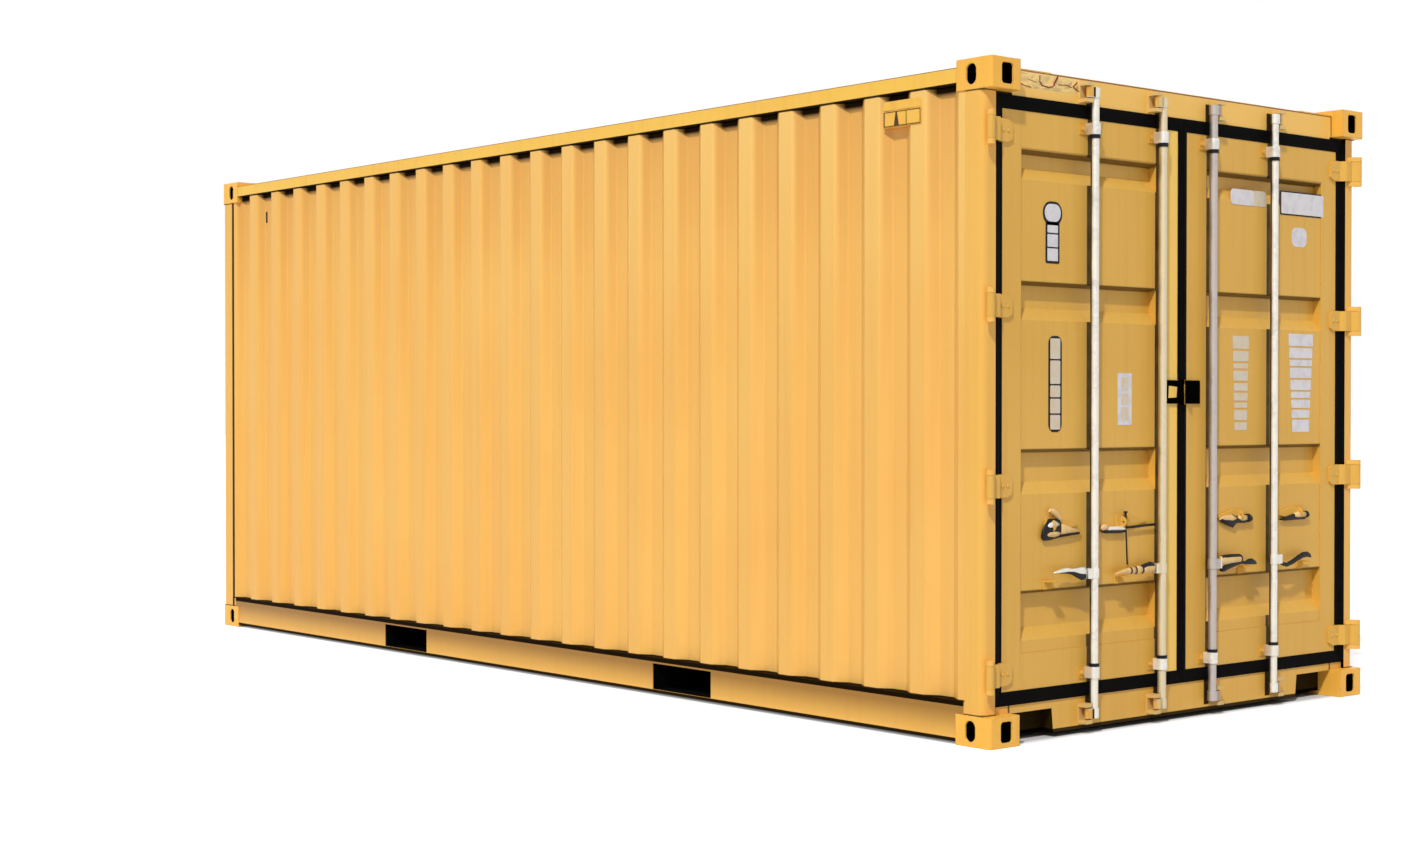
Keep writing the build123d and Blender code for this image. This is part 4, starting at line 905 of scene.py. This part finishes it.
def hasp_rods(mesh):
    """The second hasp's arm to its bar, its upright pin with a domed head, and its thin rod to the handle."""
    tube(mesh, [(HASP_X + 4, SECOND - 20, 806), (HASP_X + 4, SECOND - 210, 799)], [5, 5])
    tube(mesh, [(HASP_X + 7, SECOND - 209, 800), (HASP_X + 7, SECOND - 210, 862)], [4, 5])
    rivet(mesh, (HASP_X + 7, SECOND - 210, 860), (0, 0, 1), 11)
    tube(mesh, [(HASP_X + 7, SECOND - 207, 792), (HASP_X + 7, SECOND - 199, 652)], [3, 3])


piece("hasp_rods", hasp_rods, black_iron, "left_door", smooth=True)
for hasp in HASPS:
    forging("hasp", *hasp)
print("hasps dressed with", len(HASPS), "pieces and their rods")

# %% [markdown]
# ## Handles
#
# The handles are forgings too: an eye on the hub's pin, a thick lobe, a waist, and a leaf-shaped grip. The
# solids are their plain bars with the right pin and reach. Here each is drawn again as the forging it is, and
# stands for its solid. Black lobes under them are grease and the painted shadows of the handles, and the
# fourth is black all over, as painted shade. They ride on the handles, so they lift.

# %% The four handles
EYE = [(25, 630, 7, 5.4), (31, 630, 13, 5.9), (45, 631, 14, 5.9), (50, 632, 14, 5.9)]
HANDLES = (
    ("leaf", 1, zinc_steel, EYE + [(57, 640, 17, 8.5), (76, 641, 16, 9), (100, 642, 12, 8), (119, 645, 8, 7),
                                   (132, 646, 7, 7), (160, 649, 9, 8), (190, 648, 9, 8), (214, 646, 6, 6),
                                   (240, 642, 1.5, 2)]),
    ("lobe", 2, cream,
     EYE + [(57, 633, 16, 8.5), (76, 633, 19, 9.5), (102, 632, 18, 9.5), (124, 630, 13, 8.5)],
     [(128, 629, 12, 9), (150, 629, 17, 10), (168, 628, 13, 9)],
     [(170, 628, 13, 8.5), (200, 628, 13, 9), (235, 627, 11, 8), (268, 623, 7, 6), (302, 619, 1.5, 2)]),
    ("block", 3, cream, EYE + [(57, 640, 19, 9), (66, 642, 20, 9.5), (180, 643, 18, 9.5), (192, 643, 15, 8)]),
    # painted shade: the fourth handle black all over
    ("leaf", 4, black_iron, EYE[:3] + [(50, 620, 11, 5.9), (60, 609, 8, 7), (97, 602, 9, 8),
                                       (140, 613, 11, 9), (180, 628, 12, 9.5), (215, 639, 13, 9.5),
                                       (248, 641, 12, 9), (266, 635, 9, 7), (276, 628, 3, 3)]),
)
# black lobes under the handles: grease and their painted shadows
GREASE_AND_SHADOWS = (
    [[(57, 622, 16, 8), (78, 621, 15, 8.5), (104, 629, 12, 8), (130, 637, 8, 7), (160, 641, 6, 6.5),
      (190, 641, 4, 5), (215, 642, 2, 3)]],
    [[(57, 641, 13, 8), (80, 643, 16, 8.5), (112, 639, 14, 8), (130, 634, 15, 8)],
     [(122, 629, 15, 9), (128, 629, 17, 10), (133, 629, 15, 9)],
     [(164, 628, 14, 9), (168, 628, 16, 10), (173, 628, 14, 9)],
     [(196, 628, 13, 9), (200, 628, 14.5, 10), (206, 628, 13, 9)]],
    [[(57, 604, 9, 7), (80, 607, 13, 8), (120, 618, 13, 8.5), (170, 626, 10, 8), (196, 628, 8, 7),
      (226, 624, 7, 6.5), (246, 628, 12, 8), (272, 628, 13, 8.5), (296, 622, 8, 6), (306, 618, 2, 2)],
     [(60, 650, 13, 8), (120, 653, 13, 8), (186, 652, 12, 8), (200, 642, 15, 8)]],
)
for part, number, *drawing in HANDLES:
    handle = forging("handle", part, number, *drawing)
    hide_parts(f"bar_handle_{number}")
for number, bodies in enumerate(GREASE_AND_SHADOWS, 1):
    forging("handle", "grease_and_shadow", number, black_iron, *bodies)
print("handles stand for", len(HANDLES), "solids")

# %% [markdown]
# ## Weld beads
#
# The corrugated walls are welded to the rails all along their edge, and the bead follows every fold. A tube
# swept along the wall's own outline shows that seam. Its radius ripples a little, as a hand-guided torch
# leaves it. The posts are welded to the castings in the same way, with a thicker bead.

# %% Beads along the walls and round the posts
WALL_START, WALL_LENGTH, WALL_PITCHES = -2926, 5821, 23     # mm, mm and waves
WALL_FLAT, WALL_DEPTH = 72, 36
BEAD_RADIUS = 3.2
RIPPLE = 0.6
POST_ENDS = (118, 2473)     # mm, where posts meet castings


def wall_path(height):
    """The outline of the left wall's outer face at a height."""
    step = WALL_LENGTH / WALL_PITCHES
    slope = step / 2 - WALL_FLAT
    path = [(WALL_START + 4, -WALL_OUTER, height)]
    for i in range(WALL_PITCHES):
        x = WALL_START + i * step + WALL_FLAT / 2
        for along, deep in ((0, 0), (slope, WALL_DEPTH), (slope + WALL_FLAT, WALL_DEPTH),
                            (2 * slope + WALL_FLAT, 0)):
            path.append((x + along, -WALL_OUTER + deep, height))
    path.append((WALL_START + WALL_LENGTH - 4, -WALL_OUTER, height))
    return path


def bead(mesh, corners, radius, spacing=16):
    """A rippled bead along a line of corners."""
    path = []
    for a, b in zip(corners, corners[1:]):
        steps = max(1, round((Vector(b) - Vector(a)).length / spacing))
        path += [Vector(a).lerp(Vector(b), k / steps) for k in range(steps)]
    path.append(Vector(corners[-1]))
    ripple = random.Random(5)
    tube(mesh, path, [radius + ripple.uniform(-RIPPLE, RIPPLE) for _ in path], 6)


def wall_beads(mesh):
    """The bead at the foot and the head of the left wall."""
    for height in (RAIL_TOP + 1, WALL_TOP - 1):
        bead(mesh, wall_path(height), BEAD_RADIUS)


def post_beads(mesh):
    """The beads between the left posts and their castings, sunk so that little more than a ridge shows."""
    for post, inwards in (("rear_post_left", -1), ("front_post_left", 1)):
        (x0, y0, z0), (x1, y1, z1) = cad_mm(post)
        end, back = (x1, x0) if inwards < 0 else (x0, x1)
        for height in POST_ENDS:
            bead(mesh, [(back, y0 + 2, height), (end + 2 * inwards, y0 + 2, height),
                        (end + 2 * inwards, y0 + 70, height)], BEAD_RADIUS, 7)


pair("wall_beads", wall_beads, wall_paint, BOX, slot="body_paint", smooth=True)
pair("post_beads", post_beads, frame_paint, BOX, slot="body_paint", smooth=True)
print("beads follow", len(wall_path(0)), "corners of each wall")

# %% [markdown]
# ## Small things on the box
#
# A flat plate is welded over each ventilator, a short raised tick marks the far end of the wall, and the
# floor is screwed to every crossmember.

# %% Vent plates, tick marks and floor screws
VENT_PLATE = (2458, 2665, 2440, 2475)       # mm, along and up
VENT_FACE = (2462, 2661, 2376, 2434)        # mm, along and up
TICK = (-2575, 2338, 2401)                  # mm, its middle, foot and head
SCREW_ROWS, SCREWS_ACROSS = 19, 15
SCREW_START = (-2780, -1030, 172)           # mm, the first screw, on the boards
SCREW_PITCH = (310, 150)                    # mm, along and across


def vent_plate(mesh):
    """The thin plate above the left ventilator."""
    x0, x1, z0, z1 = VENT_PLATE
    cut = 6
    outline = [(x0 + cut, z0), (x1 - cut, z0), (x1, z0 + cut), (x1, z1 - cut), (x1 - cut, z1), (x0 + cut, z1),
               (x0, z1 - cut), (x0, z0 + cut)]
    prism(mesh, outline, "y", -WALL_OUTER - 2, -WALL_OUTER)


def vent_face(mesh):
    """The face of the left ventilator, which stands over its slots."""
    prism(mesh, rectangle(*VENT_FACE), "y", -WALL_OUTER - 3.5, -WALL_OUTER - 2)


def vent_lines(mesh):
    """The dark frame round the ventilator's face, its upright bar and its wedge: painted shade at edges and
    dent.
    """
    x0, x1, z0, z1 = VENT_FACE
    thin, wide = 3, x1 - x0
    lines = [(x0, x1, z1 - thin, z1), (x0, x1, z0, z0 + thin), (x0, x0 + thin + 2, z0, z1),
             (x1 - thin, x1, z0, z1), (x0 + 0.61 * wide, x0 + 0.61 * wide + thin, z0, z1)]
    for line in lines:
        prism(mesh, rectangle(*line), "y", -WALL_OUTER - 4.6, -WALL_OUTER - 3)
    wedge = [(x0 + 0.28 * wide, z0), (x0 + 0.42 * wide, z0), (x0 + 0.36 * wide, z1), (x0 + 0.33 * wide, z1)]
    prism(mesh, wedge, "y", -WALL_OUTER - 4.4, -WALL_OUTER - 3)


def tick_mark(mesh):
    """A short dark bar in the hollow near the far end of the left wall."""
    x, z0, z1 = TICK
    deep = -WALL_OUTER + WALL_DEPTH
    prism(mesh, [(x - 9, deep - 1), (x + 9, deep - 1), (x + 7, deep + 0.5), (x - 7, deep + 0.5)], "z", z0, z1)


def board_screws(mesh):
    """Floor screws, in rows across the boards at every crossmember."""
    x, y, z = SCREW_START
    for i in range(SCREW_ROWS):
        for j in range(SCREWS_ACROSS):
            rivet(mesh, (x + i * SCREW_PITCH[0], y + j * SCREW_PITCH[1], z), (0, 0, 1), 6)


# painted shade: dark strips round the ventilator's face, between its cells and in its dent
vent_shade = matt("vent_shade_strips", "#4A3008", "#2C1C06", 30, 0.7)
pair("vent_plate", vent_plate, vent_abs, BOX, slot="body_paint", bevel=0.6)
pair("vent_face", vent_face, vent_abs, BOX, slot="body_paint")
pair("vent_lines", vent_lines, vent_shade, BOX)
piece("tick_mark_left", tick_mark, black_vinyl, "container")
piece("board_screws", board_screws, zinc_steel, "container", slot="galvanised_steel", smooth=True)
print("floor screws", SCREW_ROWS * SCREWS_ACROSS)

# %% [markdown]
# ## Dented header
#
# The header has been struck beside the left casting: the plate is crumpled into facets, and the paint has
# split along the sharpest folds, where the steel has rusted dark red. A thin sheet over the header's face
# carries the facets, from the distances of a cell pattern, and thin tubes are the splits.

# %% Crumpled sheet and split paint
HEADER_X = 2972         # mm, the header's face
DENT = (-1035, -640, 2500, 2562)    # mm, across and up
DENT_COLUMNS, DENT_ROWS = 44, 9
DENT_DEPTH = 9
DENT_FADE = (30, 10)    # mm across and up, over which the facets die out at its edges
FACET = (55, 34)        # mm across and up
SPLITS = [[(-778, 2560), (-790, 2547), (-808, 2519)],
          [(-883, 2556), (-892, 2531), (-873, 2516), (-833, 2511), (-810, 2518)],
          [(-782, 2527), (-732, 2530), (-696, 2524)], [(-952, 2533), (-903, 2524)],
          [(-1011, 2514), (-967, 2506), (-930, 2503)],
          [(-663, 2550), (-693, 2528), (-670, 2517), (-629, 2508)]]
SPLIT_RADII = (4.2, 2.6, 1.8, 1.7, 1.8, 2.4)


def crumple(y, z):
    """How far the crumpled sheet stands out, pinned along its edges."""
    y0, y1, z0, z1 = DENT
    edge = min(min(y - y0, y1 - y) / DENT_FADE[0], min(z - z0, z1 - z) / DENT_FADE[1], 1.0)
    cells = noise.voronoi((y / FACET[0], z / FACET[1], 0.0))[0]
    return 0.3 + DENT_DEPTH * max(edge, 0.0) * min(cells[1] - cells[0], 0.8)


def crumpled_sheet(mesh):
    """The crumpled part of the header's face."""
    y0, y1, z0, z1 = DENT
    rings = []
    for i in range(DENT_COLUMNS + 1):
        y = y0 + (y1 - y0) * i / DENT_COLUMNS
        heights = [z0 + (z1 - z0) * j / DENT_ROWS for j in range(DENT_ROWS + 1)]
        front = [mesh.verts.new((HEADER_X + crumple(y, z), y, z)) for z in heights]
        back = [mesh.verts.new((HEADER_X - 0.5, y, z)) for z in (z1, z0)]
        rings.append(front + back)
    skin(mesh, rings)


def split_paint(mesh):
    """Rusted splits along the sharpest folds."""
    for line, radius in zip(SPLITS, SPLIT_RADII):
        path = []
        for (ya, za), (yb, zb) in zip(line, line[1:]):
            path += [(ya + (yb - ya) * k / 6, za + (zb - za) * k / 6) for k in range(6)]
        path.append(line[-1])
        ends = [0.3] + [1.0] * (len(path) - 2) + [0.3]
        tube(mesh, [(HEADER_X + crumple(y, z) - 0.2, y, z) for y, z in path], [radius * e for e in ends], 6)


split_rust = matt("rusted_split", "#8A3210", "#5A1A0A", 18, 0.7)
piece("crumpled_header", crumpled_sheet, end_paint, "container", slot="body_paint")
piece("split_header_paint", split_paint, split_rust, "container", smooth=True)
print("crumpled sheet stands out", round(crumple(-850, 2530), 1), "mm at its middle")

# %% [markdown]
# ## Studio
#
# The container stands on a pale floor in soft light. One broad sun from the upper right of the camera
# lights both the long side and, at a flatter angle, the door end, so that the grooves of the doors and the
# hollows under the top rail get their shade. The world fills the rest and is brighter behind the container,
# like a soft box there, so that the far sides aren't dull. Floor and world show white to the camera and in
# gloss, but for the floor under the container, which is left without its glow as painted shade.

# %% Floor
FLOOR_REACH = 80.0      # m
FLOOR_TONE = "#D9D9DA"
FLOOR_GLOW = 0.5        # what the camera sees on top of the lit floor
# painted shade: the floor under the container is left without its glow, so it shows darker
SHADED_FOOTPRINT = [("length", 0, 2960, 60), ("across", 0, 1150, 60)]      # the floor that doesn't glow


def seen_directly(tree):
    """One where a ray comes straight from the camera, off gloss or through glass."""
    seen = add(tree, "LightPath", {}).node.outputs
    direct = add(tree, "Math", {"operation": "MAXIMUM", 0: seen["Is Camera Ray"], 1: seen["Is Glossy Ray"]})
    return add(tree, "Math", {"operation": "MAXIMUM", 0: direct, 1: seen["Is Transmission Ray"]})


def studio_floor():
    """A large level floor that looks white in full light, keeps the shadow, and is painted darker under the
    box.
    """
    mesh = bpy.data.meshes.new("studio_floor")
    r = FLOOR_REACH
    mesh.from_pydata([(-r, -r, 0), (r, -r, 0), (r, r, 0), (-r, r, 0)], [], [(0, 1, 2, 3)])
    material, tree, shader, place = start_material("studio_floor", FLOOR_TONE)
    under = meeting(container_axes(place), SHADED_FOOTPRINT)
    glow = both(both(seen_directly(tree), outside(under)), FLOOR_GLOW)
    connect(shader, {"Roughness": 0.9, "Specular IOR Level": 0.0, "Emission Color": linear("#FFFFFF"),
                     "Emission Strength": glow})
    mesh.materials.append(material)
    floor = place_object("studio_floor", mesh)


studio_floor()
print("floor reaches", FLOOR_REACH, "m")

# %% World and lamp
FRONT_FILL = 0.34           # the world's strength on the side of the camera
BACK_FILL = 1.0             # and behind the container
BEHIND = (-0.72, 0.65, 0.25)
SUN_STRENGTH = 2.2
SUN_FROM = (0.37, -0.605, 0.71)
SUN_SOFTNESS = 2.5          # degrees


def studio_world():
    """A white world that shows as white, and lights plainly, more from behind the container."""
    world = bpy.data.worlds.new("studio")
    world.use_nodes = True
    tree = world.node_tree
    tree.nodes.clear()
    way = add(tree, "TexCoord", {}, "Generated")
    behind = add(tree, "VectorMath", {"operation": "DOT_PRODUCT", 0: way, 1: BEHIND}, "Value")
    fill = add(tree, "MapRange", {0: behind, "From Min": 0.0, "From Max": 0.8, "To Min": FRONT_FILL,
                                  "To Max": BACK_FILL})
    lit = add(tree, "Background", {"Color": linear("#FFFFFF"), "Strength": fill})
    shown = add(tree, "Background", {"Color": linear("#FFFFFF"), "Strength": 1.0})
    add(tree, "OutputWorld", {"Surface": add(tree, "MixShader", {0: seen_directly(tree), 1: lit, 2: shown})})
    bpy.context.scene.world = world


def key_sun():
    """A sun lamp with soft shadows."""
    lamp = bpy.data.lights.new("key_sun", "SUN")
    lamp.energy = SUN_STRENGTH
    lamp.angle = math.radians(SUN_SOFTNESS)
    thing = place_object("key_sun", lamp)
    thing.rotation_mode = "QUATERNION"
    thing.rotation_quaternion = Vector(SUN_FROM).to_track_quat("Z", "Y")


studio_world()
key_sun()
print("studio ready, fill", FRONT_FILL, "in front and", BACK_FILL, "behind")

# %% [markdown]
# ## Camera
#
# The photograph is taken at eye height from beyond the door end's left corner. Its lens, place and
# direction were worked out from the container's corners, and are given here as a place, an azimuth and an
# elevation.

# %% Camera at the photograph's viewpoint
CAMERA_PLACE = Vector((8.4426, -7.1659, 1.2797))
CAMERA_AZIMUTH = 49.96      # degrees
CAMERA_ELEVATION = 0.711
LENS = 54.77                # mm, on a sensor 36 mm wide


def photograph_camera():
    """The scene's camera, where the photographer stood."""
    a, e = math.radians(CAMERA_AZIMUTH), math.radians(CAMERA_ELEVATION)
    back = Vector((math.sin(a) * math.cos(e), -math.cos(a) * math.cos(e), math.sin(e)))
    data = bpy.data.cameras.new("camera")
    data.lens = LENS
    data.sensor_width = 36
    data.sensor_fit = "HORIZONTAL"
    camera = place_object("camera", data)
    camera.rotation_mode = "QUATERNION"
    camera.rotation_quaternion = (-back).to_track_quat("-Z", "Y")
    camera.location = CAMERA_PLACE
    bpy.context.scene.camera = camera


photograph_camera()
bpy.context.scene.view_settings.view_transform = "Standard"
print("camera at", tuple(CAMERA_PLACE))
